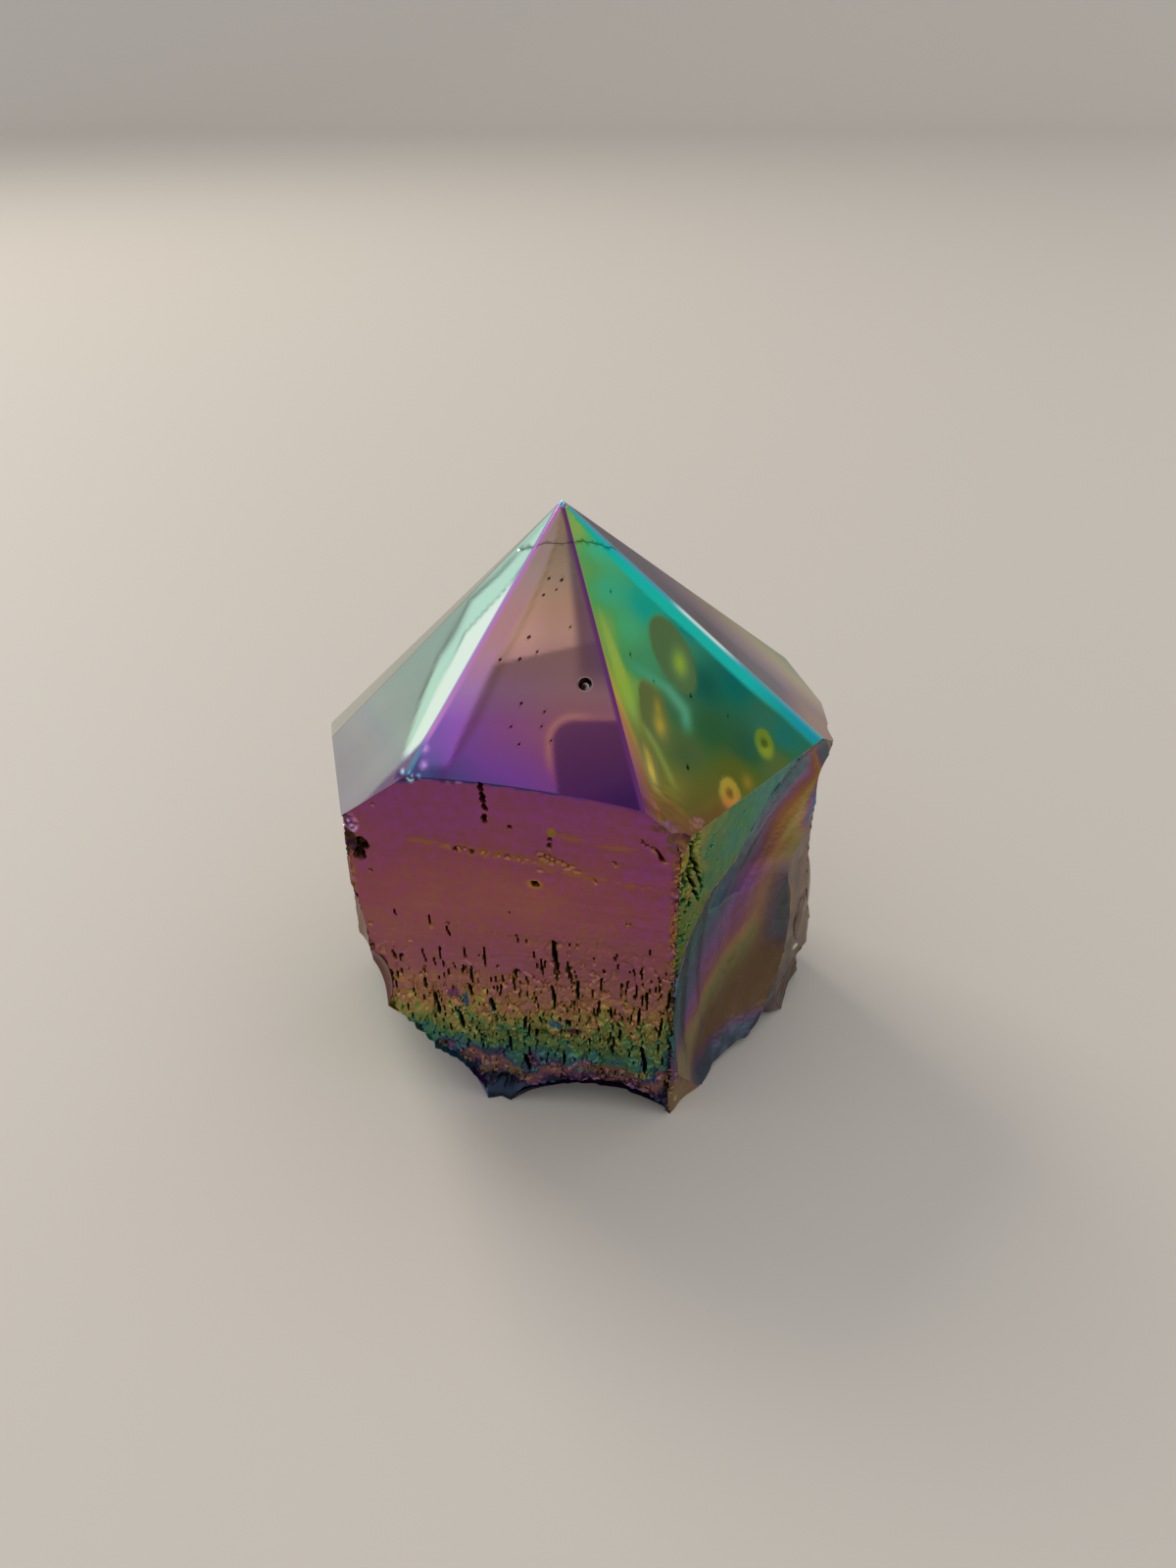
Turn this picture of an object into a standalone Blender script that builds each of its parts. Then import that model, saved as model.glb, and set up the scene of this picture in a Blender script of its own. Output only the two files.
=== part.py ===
"""Half-polished quartz point with a titanium coating, one solid stone standing on its broken base.

Units are metres. +Z is up, the tip points up and the widest natural prism face looks along -Y.
The point is a seven-sided prism under a polished tip of eight facets. The prism faces are natural
and etched, the lower front is eaten by upright slots, and the right side carries large shell-shaped
break scars. The base is broken but has a level patch in the middle that the stone rests on.
"""
import itertools
import math
import random

import bmesh
import bpy
from mathutils import Matrix, Vector, noise

MM = 0.001
NAME = "Aura quartz point"

# Tip of the point and the faces round it, lengths in millimetres and angles in degrees.
TIP = (-3.1, -1.4, 75.5)
# Natural prism faces: azimuth of the outward normal and distance from the axis.
PRISM_FACES = {
    "front": (263.0, 28.6),
    "right_front": (318.6, 28.1),
    "right": (359.5, 32.4),
    "back_right": (39.6, 27.8),
    "back": (85.0, 23.0),
    "back_left": (137.0, 26.5),
    "left": (193.4, 34.0),
}
# Polished tip facets: azimuth of the outward normal and slope from level.
TIP_FACETS = {
    "left": (205.7, 41.5),
    "front": (269.1, 43.2),
    "right": (317.4, 45.3),
    "far_right": (359.2, 41.3),
    "back_right": (47.0, 42.5),
    "back": (88.0, 50.0),
    "back_left": (128.0, 57.5),
    "far_left": (171.0, 45.0),
}

# Size of the mesh's edges on each kind of surface, in millimetres.
EDGE_POLISHED = 16.0
EDGE_NATURAL = 6.5
EDGE_ETCHED = 2.6
EDGE_BASE = 2.6

# Etched lower part of the front face.
ETCH_TOP = 33.0
ETCH_DEPTH = 0.55
SLOT_COUNT = 54
SLOT_DEPTH = 1.5
SLOT_WIDTH = 0.5

# Rough broken rim round the base.
RIM_HEIGHT = 5.5
RIM_INSET = 1.3
RIM_FADE = 9.0
# Hollows under the base, between a level patch in the middle and two feet at the front.
HOLLOW_DEPTH = 1.6
LEVEL_CENTRE = (1.0, -1.0)
LEVEL_RADIUS = 13.0
FEET = ((-12.0, -24.0), (12.0, -28.5))
FOOT_RADIUS = 5.0

# Break scars: centre, then half sizes along, across and into the stone, then the direction the
# long side runs in and the outward direction. All in millimetres.
SCARS = {
    "upper_trough": ((25.4, -20.4, 31.5), (23.0, 9.3, 8.2), (0.48, 0.54, 0.69), (0.75, -0.66, 0.0)),
    "lower_trough": ((24.6, -24.9, 17.5), (24.5, 17.0, 11.0), (0.0, 0.0, 1.0), (0.75, -0.66, 0.0)),
    "side_scoop": ((38.0, -4.5, 24.9), (21.9, 8.9, 8.0), (0.04, 0.08, 1.0), (1.0, 0.0, 0.16)),
    "side_heel": ((33.6, -5.3, 3.8), (13.3, 6.2, 3.8), (0.3, 1.0, 0.2), (0.98, -0.44, 0.12)),
    "left_corner": ((-42.6, -25.5, -4.2), (38.2, 25.4, 25.5), (0.28, 0.89, -0.23), (-0.75, -0.18, -0.63)),
    "left_toe": ((-23.6, -24.3, 0.6), (13.5, 9.5, 6.8), (0.79, -0.62, -0.14), (-0.65, -0.62, -0.26)),
    "left_side": ((-32.5, -16.0, 24.0), (17.0, 15.0, 3.3), (0.0, 0.0, 1.0), (-0.96, -0.26, 0.0)),
    "left_flake": ((-35.0, -22.4, 19.2), (16.5, 11.2, 7.7), (-0.36, 0.12, 1.0), (-0.94, -0.33, -0.23)),
    "left_chip": ((-28.4, -28.0, 20.0), (7.0, 4.4, 4.0), (0.2, 0.1, 1.0), (-0.8, -0.6, 0.0)),
    "back_shell": ((8.0, 34.0, 16.0), (22.0, 15.0, 13.0), (0.8, -0.1, 0.5), (0.1, 1.0, 0.0)),
    "base_arch": ((-0.5, -31.5, -0.8), (12.0, 5.6, 7.4), (1.0, 0.1, 0.0), (0.0, -1.0, 0.0)),
    "corner_chip": ((12.0, -31.8, 46.0), (4.6, 3.2, 2.9), (0.3, 0.4, -0.6), (0.4, -0.9, 0.2)),
    "tip_pit": ((-0.3, -18.7, 59.7), (0.95, 0.85, 1.1), (1.0, 0.0, 0.0), (0.0, -0.68, 0.73)),
    "edge_chip": ((-29.2, -25.9, 42.2), (2.4, 1.8, 1.9), (0.2, 0.0, 1.0), (-0.6, -0.8, 0.0)),
}
# Lumps left standing between the scars, same layout as the scars.
LUMPS = {
    "side_lump": ((28.8, -6.1, 16.5), (10.5, 3.4, 2.6), (0.1, 0.1, 1.0), (0.75, -0.6, 0.0)),
}
SCAR_RIPPLE = 0.22


def azimuth_vector(azimuth, slope=90.0):
    """Unit vector for a compass angle counted from +X, leaning up by 90 minus the slope."""
    a = math.radians(azimuth)
    s = math.radians(slope)
    return Vector((math.cos(a) * math.sin(s), math.sin(a) * math.sin(s), math.cos(s)))


def smooth(value, low, high):
    """Soft step from 0 at low to 1 at high."""
    t = min(1.0, max(0.0, (value - low) / (high - low)))
    return t * t * (3.0 - 2.0 * t)


def face_planes():
    """Every flat face as name, outward normal and a point on it, in millimetres."""
    planes = []
    for name, (azimuth, distance) in PRISM_FACES.items():
        normal = azimuth_vector(azimuth)
        planes.append(("prism_" + name, normal, normal * distance))
    for name, (azimuth, slope) in TIP_FACETS.items():
        planes.append(("tip_" + name, azimuth_vector(azimuth, slope), Vector(TIP)))
    return planes


def corner_of(planes):
    """Point shared by three planes, or None where they do not meet in one."""
    rows = Matrix([normal for _, normal, _ in planes])
    if abs(rows.determinant()) < 1e-4:
        return None
    return rows.inverted() @ Vector([normal.dot(point) for _, normal, point in planes])


def corners_of_solid(planes):
    """Corners of the solid that lies behind every plane."""
    corners = []
    for three in itertools.combinations(planes, 3):
        corner = corner_of(three)
        if corner is None or any(n.dot(corner - p) > 1e-4 for _, n, p in planes):
            continue
        if all((corner - other).length > 0.05 for other in corners):
            corners.append(corner)
    return corners


def flat_sided_point(bm):
    """Make the plain prism and tip, leaving one flat polygon for each face."""
    planes = face_planes() + [("base", Vector((0.0, 0.0, -1.0)), Vector((0.0, 0.0, 0.0)))]
    for corner in corners_of_solid(planes):
        bm.verts.new(corner)
    bmesh.ops.convex_hull(bm, input=bm.verts[:])
    flat = math.radians(0.4)
    bmesh.ops.dissolve_limit(bm, angle_limit=flat, verts=bm.verts[:], edges=bm.edges[:])
    bmesh.ops.recalc_face_normals(bm, faces=bm.faces)


def rim_distance(co):
    """How far a place lies inside the prism faces."""
    return min(d - azimuth_vector(a).dot(co) for a, d in PRISM_FACES.values())


def wanted_edge(co, on_tip, on_front):
    """Edge length wanted at a place, finer where the surface is rough."""
    if on_tip:
        return EDGE_POLISHED
    if co.z < 0.01:
        return EDGE_BASE if rim_distance(co) < 5.0 else 3.0 * EDGE_BASE
    if on_front and co.z < ETCH_TOP + 2.0:
        return EDGE_ETCHED
    return EDGE_BASE if co.z < RIM_HEIGHT + 2.0 else EDGE_NATURAL


def edge_is_long(edge):
    """True where an edge is longer than the finest of its two faces allows."""
    middle = (edge.verts[0].co + edge.verts[1].co) * 0.5
    front = azimuth_vector(PRISM_FACES["front"][0])
    limits = []
    for face in edge.link_faces:
        on_tip = face.normal.z > 0.2
        limits.append(wanted_edge(middle, on_tip, face.normal.dot(front) > 0.98))
    return edge.calc_length() > min(limits)


def refine(bm):
    """Split the flat faces into small triangles, keeping every ridge where it is."""
    bmesh.ops.triangulate(bm, faces=bm.faces[:], quad_method="BEAUTY", ngon_method="BEAUTY")
    for _ in range(9):
        long_edges = [e for e in bm.edges if edge_is_long(e)]
        if not long_edges:
            break
        bmesh.ops.subdivide_edges(bm, edges=long_edges, cuts=1)
        bmesh.ops.triangulate(bm, faces=bm.faces[:], quad_method="BEAUTY", ngon_method="BEAUTY")


def clear_of(slot, others):
    """True where a new slot touches none of the others."""
    x, z, width, length, _ = slot
    for ox, oz, owidth, olength, _ in others:
        if abs(x - ox) < 0.35 + width + owidth and abs(z - oz) < 0.35 + length + olength:
            return False
    return True


def make_slots(seed):
    """Upright slots in the lower front face as x, z, half width, half length and depth."""
    rng = random.Random(seed)
    slots = [(-4.2, 24.0, 1.1 * SLOT_WIDTH, 4.2, SLOT_DEPTH)]
    while len(slots) < SLOT_COUNT:
        x = rng.uniform(-25.0, 9.5)
        z = 6.0 + 25.0 * rng.random() ** 0.9
        length = rng.uniform(0.9, 2.6)
        if z - length < 15.0 - 0.9 * (x + 24.0):
            continue
        width = SLOT_WIDTH * rng.uniform(0.5, 1.0)
        slot = (x, z, width, length, SLOT_DEPTH * rng.uniform(0.5, 1.0))
        if clear_of(slot, slots):
            slots.append(slot)
    return slots


def add_slot(bm, slot):
    """One spindle-shaped slot cutter, upright and pointed at both ends."""
    x, z, width, length, deep = slot
    normal = azimuth_vector(PRISM_FACES["front"][0])
    side = Vector((0.0, 0.0, 1.0)).cross(normal)
    middle = normal * PRISM_FACES["front"][1] + side * ((x - normal.x * PRISM_FACES["front"][1]) / side.x)
    outline = ((0.1, 1.0), (1.0, 0.45), (0.9, -0.55), (-0.2, -1.0), (-1.0, -0.5), (-0.8, 0.55))
    rings = []
    for out in (1.0, -deep):
        spread = 1.0 if out > 0.0 else 0.75
        ring = []
        for across, along in outline:
            place = middle + side * (across * width * spread) + normal * out
            ring.append(bm.verts.new(Vector((place.x, place.y, z + along * length * spread)) * MM))
        rings.append(ring)
    bm.faces.new(rings[0])
    bm.faces.new(list(reversed(rings[1])))
    for i in range(len(outline)):
        j = (i + 1) % len(outline)
        bm.faces.new((rings[0][j], rings[0][i], rings[1][i], rings[1][j]))


def etched_depth(co):
    """How far the front face is eaten in at a place, in stepped upright shingles."""
    eaten = smooth(ETCH_TOP - co.z, 0.0, 16.0)
    cell = noise.cell(Vector((co.x / 2.6, 3.0, co.z / 4.0)))
    return eaten * ETCH_DEPTH * (0.3 + cell) * smooth(co.z, 0.0, 3.0)


def striation(co):
    """Fine level growth steps across a natural prism face."""
    return 0.06 * noise.noise(Vector((co.x / 9.0, co.y / 9.0, co.z / 1.9))) + 0.06 * noise.noise(co / 6.0)


def clear_of_feet(co, feet=FEET):
    """From 0 at a foot to 1 well away from them all."""
    away = 1.0
    for foot in feet:
        gap = math.hypot(co.x - foot[0], co.y - foot[1])
        away *= smooth(gap, 0.5 * FOOT_RADIUS, 1.6 * FOOT_RADIUS)
    return away


def rim_move(co):
    """Pull the lower rim in unevenly so the base edge looks broken, fading out inside the base."""
    low = 1.0 - smooth(co.z, 0.0, RIM_HEIGHT)
    low *= 1.0 - smooth(rim_distance(co), 0.0, RIM_FADE)
    if low <= 0.0:
        return Vector((0.0, 0.0, 0.0))
    inward = Vector((-co.x, -co.y, 0.0)).normalized()
    lumps = 0.5 + 0.5 * noise.noise(co / 4.0 + Vector((7.0, 0.0, 0.0)))
    fine = 0.5 + 0.5 * noise.noise(co / 1.7)
    guard = 0.25 + 0.75 * clear_of_feet(co, FEET[1:]) + 0.6 * (1.0 - clear_of_feet(co, FEET[:1]))
    return inward * (low * RIM_INSET * guard * (0.35 + lumps + 0.4 * fine))


def hollow_move(co):
    """Lift the underside and the rim over it outside the level patch and the feet."""
    low = 1.0 - smooth(co.z, 0.0, RIM_HEIGHT)
    gap = math.hypot(co.x - LEVEL_CENTRE[0], co.y - LEVEL_CENTRE[1])
    away = smooth(gap, LEVEL_RADIUS, LEVEL_RADIUS + 6.0) * clear_of_feet(co)
    depth = HOLLOW_DEPTH * (0.45 + 0.8 * noise.noise(Vector((co.x / 6.5, co.y / 6.5, 3.0))))
    return Vector((0.0, 0.0, low * away * max(0.0, depth)))


def worn_move(vert):
    """Where wear has taken one vertex of the natural faces or the base."""
    co = vert.co.copy()
    if any(face.normal.z > 0.2 for face in vert.link_faces):
        return Vector((0.0, 0.0, 0.0))
    move = rim_move(co) + hollow_move(co)
    if co.z <= 0.01:
        return move
    front = azimuth_vector(PRISM_FACES["front"][0])
    move -= vert.normal * (0.18 + striation(co))
    if abs(co.dot(front) - PRISM_FACES["front"][1]) < 0.01:
        move -= front * etched_depth(co)
    return move


def weather(bm):
    """Move the vertices of the natural faces and the base to their worn places."""
    moves = [worn_move(vert) for vert in bm.verts]
    for vert, move in zip(bm.verts, moves):
        vert.co += move


def stone_object(collection):
    """The stone's body with every flat face, slot and ledge, before the scars are cut."""
    bm = bmesh.new()
    flat_sided_point(bm)
    refine(bm)
    bm.normal_update()
    weather(bm)
    bmesh.ops.scale(bm, vec=(MM, MM, MM), verts=bm.verts)
    bmesh.ops.recalc_face_normals(bm, faces=bm.faces)
    mesh = bpy.data.meshes.new(NAME)
    bm.to_mesh(mesh)
    bm.free()
    stone = bpy.data.objects.new(NAME, mesh)
    collection.objects.link(stone)
    return stone


def scar_frame(along, outward):
    """Rotation whose x runs along the scar and whose z points out of the stone."""
    z_axis = Vector(outward).normalized()
    x_axis = Vector(along)
    x_axis = (x_axis - z_axis * x_axis.dot(z_axis)).normalized()
    y_axis = z_axis.cross(x_axis)
    return Matrix((x_axis, y_axis, z_axis)).transposed()


def tool_object(name, bm, collection):
    """Turn a finished bmesh into a hidden wire-drawn object."""
    mesh = bpy.data.meshes.new(name)
    bm.to_mesh(mesh)
    bm.free()
    tool = bpy.data.objects.new(name, mesh)
    tool.hide_render = True
    tool.display_type = "WIRE"
    collection.objects.link(tool)
    return tool


def scar_tool(name, scar, collection):
    """Ellipsoid with soft ripples, for a shell-shaped flake or a rounded lump."""
    centre, half, along, outward = scar
    frame = scar_frame(along, outward)
    bm = bmesh.new()
    steps = 4 if max(half) > 8.0 else 3 if max(half) > 2.0 else 2
    bmesh.ops.create_icosphere(bm, subdivisions=steps, radius=1.0)
    for vert in bm.verts:
        size = Vector((vert.co.x * half[0], vert.co.y * half[1], vert.co.z * half[2]))
        ripple = SCAR_RIPPLE * math.sin(size.y * 1.7 + 1.5 * noise.noise(size / 9.0))
        ripple *= smooth(max(half), 6.0, 12.0)
        place = frame @ size
        vert.co = (Vector(centre) + place + place.normalized() * ripple) * MM
    return tool_object(name, bm, collection)


def slot_tool(collection):
    """All the slots as one cutter."""
    bm = bmesh.new()
    for slot in make_slots(11):
        add_slot(bm, slot)
    bmesh.ops.recalc_face_normals(bm, faces=bm.faces)
    return tool_object("tool_slots", bm, collection)


def apply_tool(stone, tool, operation):
    """Add one Boolean step to the stone."""
    change = stone.modifiers.new(tool.name, "BOOLEAN")
    change.operation = operation
    change.solver = "EXACT"
    change.object = tool


def shape_stone(stone, collection):
    """Cut the slots and the scars, then fuse the lumps on."""
    apply_tool(stone, slot_tool(collection), "DIFFERENCE")
    for name, scar in SCARS.items():
        apply_tool(stone, scar_tool("tool_" + name, scar, collection), "DIFFERENCE")
    for name, lump in LUMPS.items():
        apply_tool(stone, scar_tool("tool_" + name, lump, collection), "UNION")


def coated_material():
    """Mirror-like titanium film over polished and etched quartz."""
    material = bpy.data.materials.new("titanium_coated_quartz")
    material.use_nodes = True
    shader = material.node_tree.nodes["Principled BSDF"]
    shader.inputs["Base Color"].default_value = (0.34, 0.12, 0.22, 1.0)
    shader.inputs["Metallic"].default_value = 1.0
    shader.inputs["Roughness"].default_value = 0.25
    material.diffuse_color = (0.55, 0.25, 0.45, 1.0)
    return material


def main():
    """Build the stone in a clean scene."""
    for old in list(bpy.data.objects):
        bpy.data.objects.remove(old, do_unlink=True)
    scene_root = bpy.context.scene.collection
    parts = bpy.data.collections.new(NAME)
    scene_root.children.link(parts)
    cutters = bpy.data.collections.new("Cutters")
    scene_root.children.link(cutters)
    stone = stone_object(parts)
    stone.name = "aura_quartz_point"
    stone.data.materials.append(coated_material())
    shape_stone(stone, cutters)


main()
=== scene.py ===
"""Titanium-coated quartz point: the stone in full detail over its CAD solid, floor, light, camera.

Lengths are millimetres until the finished mesh is scaled to metres. The stone is built from the
same named planes and scars as the solid: flat faces first, then the break scars, then a fine
triangle net over every face that is moved in and out for slots, ledges, pits and ripples. The
coating's colour is a film phase kept on the mesh: it runs gold, orange, rose, violet, blue, teal,
green and back to gold.
"""

import itertools
import math
import random

import bmesh
import bpy
import numpy as np
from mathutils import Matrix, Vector
from mathutils.geometry import delaunay_2d_cdt
from mathutils.kdtree import KDTree


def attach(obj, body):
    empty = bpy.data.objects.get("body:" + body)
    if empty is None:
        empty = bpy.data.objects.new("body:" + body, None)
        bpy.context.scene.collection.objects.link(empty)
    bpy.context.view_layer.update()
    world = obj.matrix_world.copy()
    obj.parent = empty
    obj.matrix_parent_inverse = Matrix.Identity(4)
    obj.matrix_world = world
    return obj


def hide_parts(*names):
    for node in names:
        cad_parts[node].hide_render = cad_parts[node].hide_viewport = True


MM = 0.001
PIECE = "quartz_point_detail"

# ---------------------------------------------------------------- shape, same values as the solid
TIP = np.array((-3.1, -1.4, 75.5))
PRISM_FACES = {
    "front": (263.0, 28.6),
    "right_front": (318.6, 28.1),
    "right": (359.5, 32.4),
    "back_right": (39.6, 27.8),
    "back": (85.0, 23.0),
    "back_left": (137.0, 26.5),
    "left": (193.4, 34.0),
}
TIP_FACETS = {
    "left": (205.7, 41.5),
    "front": (269.1, 43.2),
    "right": (317.4, 45.3),
    "far_right": (359.2, 41.3),
    "back_right": (47.0, 42.5),
    "back": (88.0, 50.0),
    "back_left": (128.0, 57.5),
    "far_left": (171.0, 45.0),
}
RIDGE_RADIUS = 0.6

# Break scars as ellipsoids: middle, half sizes, way along, way out. A scratch script fitted some rows
# to outline points measured in the photo.
SCARS = {
    "upper_trough": ((25.4, -20.4, 31.5), (23.0, 9.3, 8.2), (0.48, 0.54, 0.69), (0.75, -0.66, 0.0)),
    "lower_trough": ((24.6, -24.9, 17.5), (24.5, 17.0, 11.0), (0.0, 0.0, 1.0), (0.75, -0.66, 0.0)),
    "side_scoop": ((38.0, -4.5, 24.9), (21.9, 8.9, 8.0), (0.04, 0.08, 1.0), (1.0, 0.0, 0.16)),
    "side_heel": ((33.6, -5.3, 3.8), (13.3, 6.2, 3.8), (0.3, 1.0, 0.2), (0.98, -0.44, 0.12)),
    "left_corner": ((-42.6, -25.5, -4.2), (38.2, 25.4, 25.5), (0.28, 0.89, -0.23), (-0.75, -0.18, -0.63)),
    "left_toe": ((-23.6, -24.3, 0.6), (13.5, 9.5, 6.8), (0.79, -0.62, -0.14), (-0.65, -0.62, -0.26)),
    "left_side": ((-32.5, -16.0, 24.0), (17.0, 15.0, 3.3), (0.0, 0.0, 1.0), (-0.96, -0.26, 0.0)),
    "left_flake": ((-35.0, -22.4, 19.2), (16.5, 11.2, 7.7), (-0.36, 0.12, 1.0), (-0.94, -0.33, -0.23)),
    "left_chip": ((-28.4, -28.0, 20.0), (7.0, 4.4, 4.0), (0.2, 0.1, 1.0), (-0.8, -0.6, 0.0)),
    "back_shell": ((8.0, 34.0, 16.0), (22.0, 15.0, 13.0), (0.8, -0.1, 0.5), (0.1, 1.0, 0.0)),
    "base_arch": ((-0.5, -31.5, -0.8), (12.0, 5.6, 7.4), (1.0, 0.1, 0.0), (0.0, -1.0, 0.0)),
    "corner_chip": ((12.0, -31.8, 46.0), (4.6, 3.2, 2.9), (0.3, 0.4, -0.6), (0.4, -0.9, 0.2)),
    "edge_chip": ((-29.2, -25.9, 42.2), (2.4, 1.8, 1.9), (0.2, 0.0, 1.0), (-0.6, -0.8, 0.0)),
}
LUMPS = {
    "side_lump": ((28.8, -6.1, 16.5), (10.5, 3.4, 2.6), (0.1, 0.1, 1.0), (0.75, -0.6, 0.0)),
}
SCAR_RIPPLE = 0.22
WELD = 0.002

ETCH_TOP = 33.0
ETCH_DEPTH = 0.55
RIM_HEIGHT = 5.5
RIM_INSET = 1.3
RIM_FADE = 9.0
HOLLOW_DEPTH = 1.6
LEVEL_CENTRE = (1.0, -1.0)
LEVEL_RADIUS = 13.0
FEET = ((-12.0, -24.0), (12.0, -28.5))
FOOT_RADIUS = 5.0

# Depth behind a neighbour's plane for each millimetre from the front face's edge beside it.
RIGHT_EDGE_TURN = 0.826
LEFT_EDGE_TURN = 0.938
TOP_EDGE_TURN = 0.68
# Front edge of the stone, and the level direction along the right front face.
FRONT_EDGE = (10.8, -30.2)
RIGHT_FRONT_WAY = (0.661, 0.750)
# The front edge's place on that face's own level axis, with the sign turned.
RIGHT_FRONT_START = 15.5

# Spacing of the triangle net on each kind of face.
NET = {
    "prism_front": 0.30, "prism_right_front": 0.33, "prism_left": 0.75, "prism_right": 0.7,
    "prism_back_right": 0.8, "prism_back": 0.8, "prism_back_left": 0.8, "base": 1.0,
    "tip_front": 0.45, "tip_right": 0.42, "tip_left": 0.6, "tip_far_right": 0.7,
}
NET_OTHER = 1.1
# The slotted part of the front face has tall narrow spacing up to a height, the rest a coarser one.
FRONT_COLUMN = 0.15
FRONT_ROW = 0.26
FRONT_FINE_TOP = 35.5
FRONT_UPPER = 0.36
TRIANGLE_ROW = 0.866


# ---------------------------------------------------------------- small maths
def unit(v):
    v = np.asarray(v, float)
    return v / np.linalg.norm(v)


def azimuth_vector(azimuth, slope=90.0):
    a, s = math.radians(azimuth), math.radians(slope)
    return np.array((math.cos(a) * math.sin(s), math.sin(a) * math.sin(s), math.cos(s)))


def smooth(value, low, high):
    t = np.clip((value - low) / (high - low), 0.0, 1.0)
    return t * t * (3.0 - 2.0 * t)


def fall(value, low, high):
    return 1.0 - smooth(value, low, high)


def stretch(value, start, full, end, gone):
    """Rises from start to full and falls away from end to gone."""
    return smooth(value, start, full) * fall(value, end, gone)


def bell(value, middle, half):
    return np.exp(-((value - middle) / half) ** 2)


def between(value, places, amounts):
    return np.interp(value, places, amounts)


def table(*rows):
    return np.array(rows, float)


def oval(x, y, long_half, wide_half, turn):
    """0 at the middle of a turned oval, 1 on its outline."""
    a = math.radians(turn)
    along, across = x * math.cos(a) + y * math.sin(a), y * math.cos(a) - x * math.sin(a)
    return (along / long_half) ** 2 + (across / wide_half) ** 2


def spot(x, y, middle_x, middle_y, half_x, half_y):
    """0 at the middle of an upright oval, 1 on its outline."""
    return np.hypot((x - middle_x) / half_x, (y - middle_y) / half_y)


def segment_gap(x, y, starts, ends):
    """Distance of each place from the nearest of some segments."""
    gap = np.full(len(x), 1e9)
    for (ax, ay), (bx, by) in zip(starts, ends):
        dx, dy = bx - ax, by - ay
        t = np.clip(((x - ax) * dx + (y - ay) * dy) / max(dx * dx + dy * dy, 1e-12), 0.0, 1.0)
        gap = np.minimum(gap, np.hypot(x - ax - t * dx, y - ay - t * dy))
    return gap


def along_right_front(p):
    """Distance from the front edge along the right front face."""
    return (p[:, 0] - FRONT_EDGE[0]) * RIGHT_FRONT_WAY[0] + (p[:, 1] - FRONT_EDGE[1]) * RIGHT_FRONT_WAY[1]


def lattice(ix, iy, iz, seed):
    """Random number from 0 to 1 for each cell of a grid."""
    mask = np.uint64(0xFFFFFFFF)
    h = (ix.astype(np.int64) * 374761393 + iy.astype(np.int64) * 668265263
         + iz.astype(np.int64) * 1440662683 + seed * 974711).astype(np.uint64) & mask
    h = ((h ^ (h >> np.uint64(13))) * np.uint64(1274126177)) & mask
    h = ((h ^ (h >> np.uint64(16))) * np.uint64(2246822519)) & mask
    h = h ^ (h >> np.uint64(15))
    return (h & np.uint64(0xFFFFFF)).astype(float) / 0xFFFFFF


def noise3(p, seed=0):
    """Smooth noise from -1 to 1 at points of shape (n, 3)."""
    base = np.floor(p)
    f = p - base
    f = f * f * f * (f * (f * 6.0 - 15.0) + 10.0)
    total = np.zeros(len(p))
    for dx, dy, dz in itertools.product((0, 1), repeat=3):
        w = (f[:, 0] if dx else 1 - f[:, 0]) * (f[:, 1] if dy else 1 - f[:, 1])
        w = w * (f[:, 2] if dz else 1 - f[:, 2])
        total += w * lattice(base[:, 0] + dx, base[:, 1] + dy, base[:, 2] + dz, seed)
    return total * 2.0 - 1.0


def noise2(x, y, seed=0):
    return noise3(np.stack([x, y, np.full_like(x, 0.37)], -1), seed)


def rough2(x, y, seed=0, octaves=3):
    """Several layers of noise, each half as wide and half as strong."""
    total, size = np.zeros_like(x), 1.0
    for i in range(octaves):
        total += size * noise2(x / size, y / size, seed + i)
        size *= 0.5
    return total / 1.6


def cells2(x, y, seed=0):
    """Distance to the nearest and second nearest scattered point, and that point's number."""
    bx, by = np.floor(x), np.floor(y)
    best = np.full(x.shape, 9.0)
    second = np.full(x.shape, 9.0)
    number = np.zeros(x.shape)
    zero = np.zeros_like(bx)
    for dx, dy in itertools.product((-1, 0, 1), repeat=2):
        cx, cy = bx + dx, by + dy
        px = cx + lattice(cx, cy, zero, seed)
        py = cy + lattice(cx, cy, zero + 1, seed)
        d = np.hypot(px - x, py - y)
        nearer = d < best
        second = np.where(nearer, best, np.minimum(second, d))
        number = np.where(nearer, lattice(cx, cy, zero + 2, seed), number)
        best = np.where(nearer, d, best)
    return best, second, number


# ---------------------------------------------------------------- flat faces and scars
class Plane:
    """A flat face: outward normal, distance, and level and down-slope directions in it."""

    def __init__(self, name, normal, distance):
        self.name = name
        self.n = unit(normal)
        self.d = float(distance)
        level = np.array((0.0, 0.0, 1.0)) if abs(self.n[2]) < 0.999 else np.array((0.0, 1.0, 0.0))
        self.u = unit(np.cross(level, self.n))
        self.v = np.cross(self.n, self.u)

    def flat(self, p):
        """Place in the face: along the level direction and up the slope."""
        return np.stack([p @ self.u, p @ self.v], -1)

    def lift(self, q):
        return q[:, :1] * self.u + q[:, 1:] * self.v + self.n * self.d


def ridge_planes(a, b):
    """Two narrow faces that round the ridge between two polished facets."""
    na = azimuth_vector(*TIP_FACETS[a])
    nb = azimuth_vector(*TIP_FACETS[b])
    turn = math.acos(na @ nb)
    centre = TIP - unit(na + nb) * RIDGE_RADIUS / math.cos(turn / 2)
    found = []
    for k in (1, 2):
        n = (math.sin(turn * (3 - k) / 3) * na + math.sin(turn * k / 3) * nb) / math.sin(turn)
        found.append(Plane(f"ridge_{a}_{b}_{k}", n, n @ centre + RIDGE_RADIUS))
    return found


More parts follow.
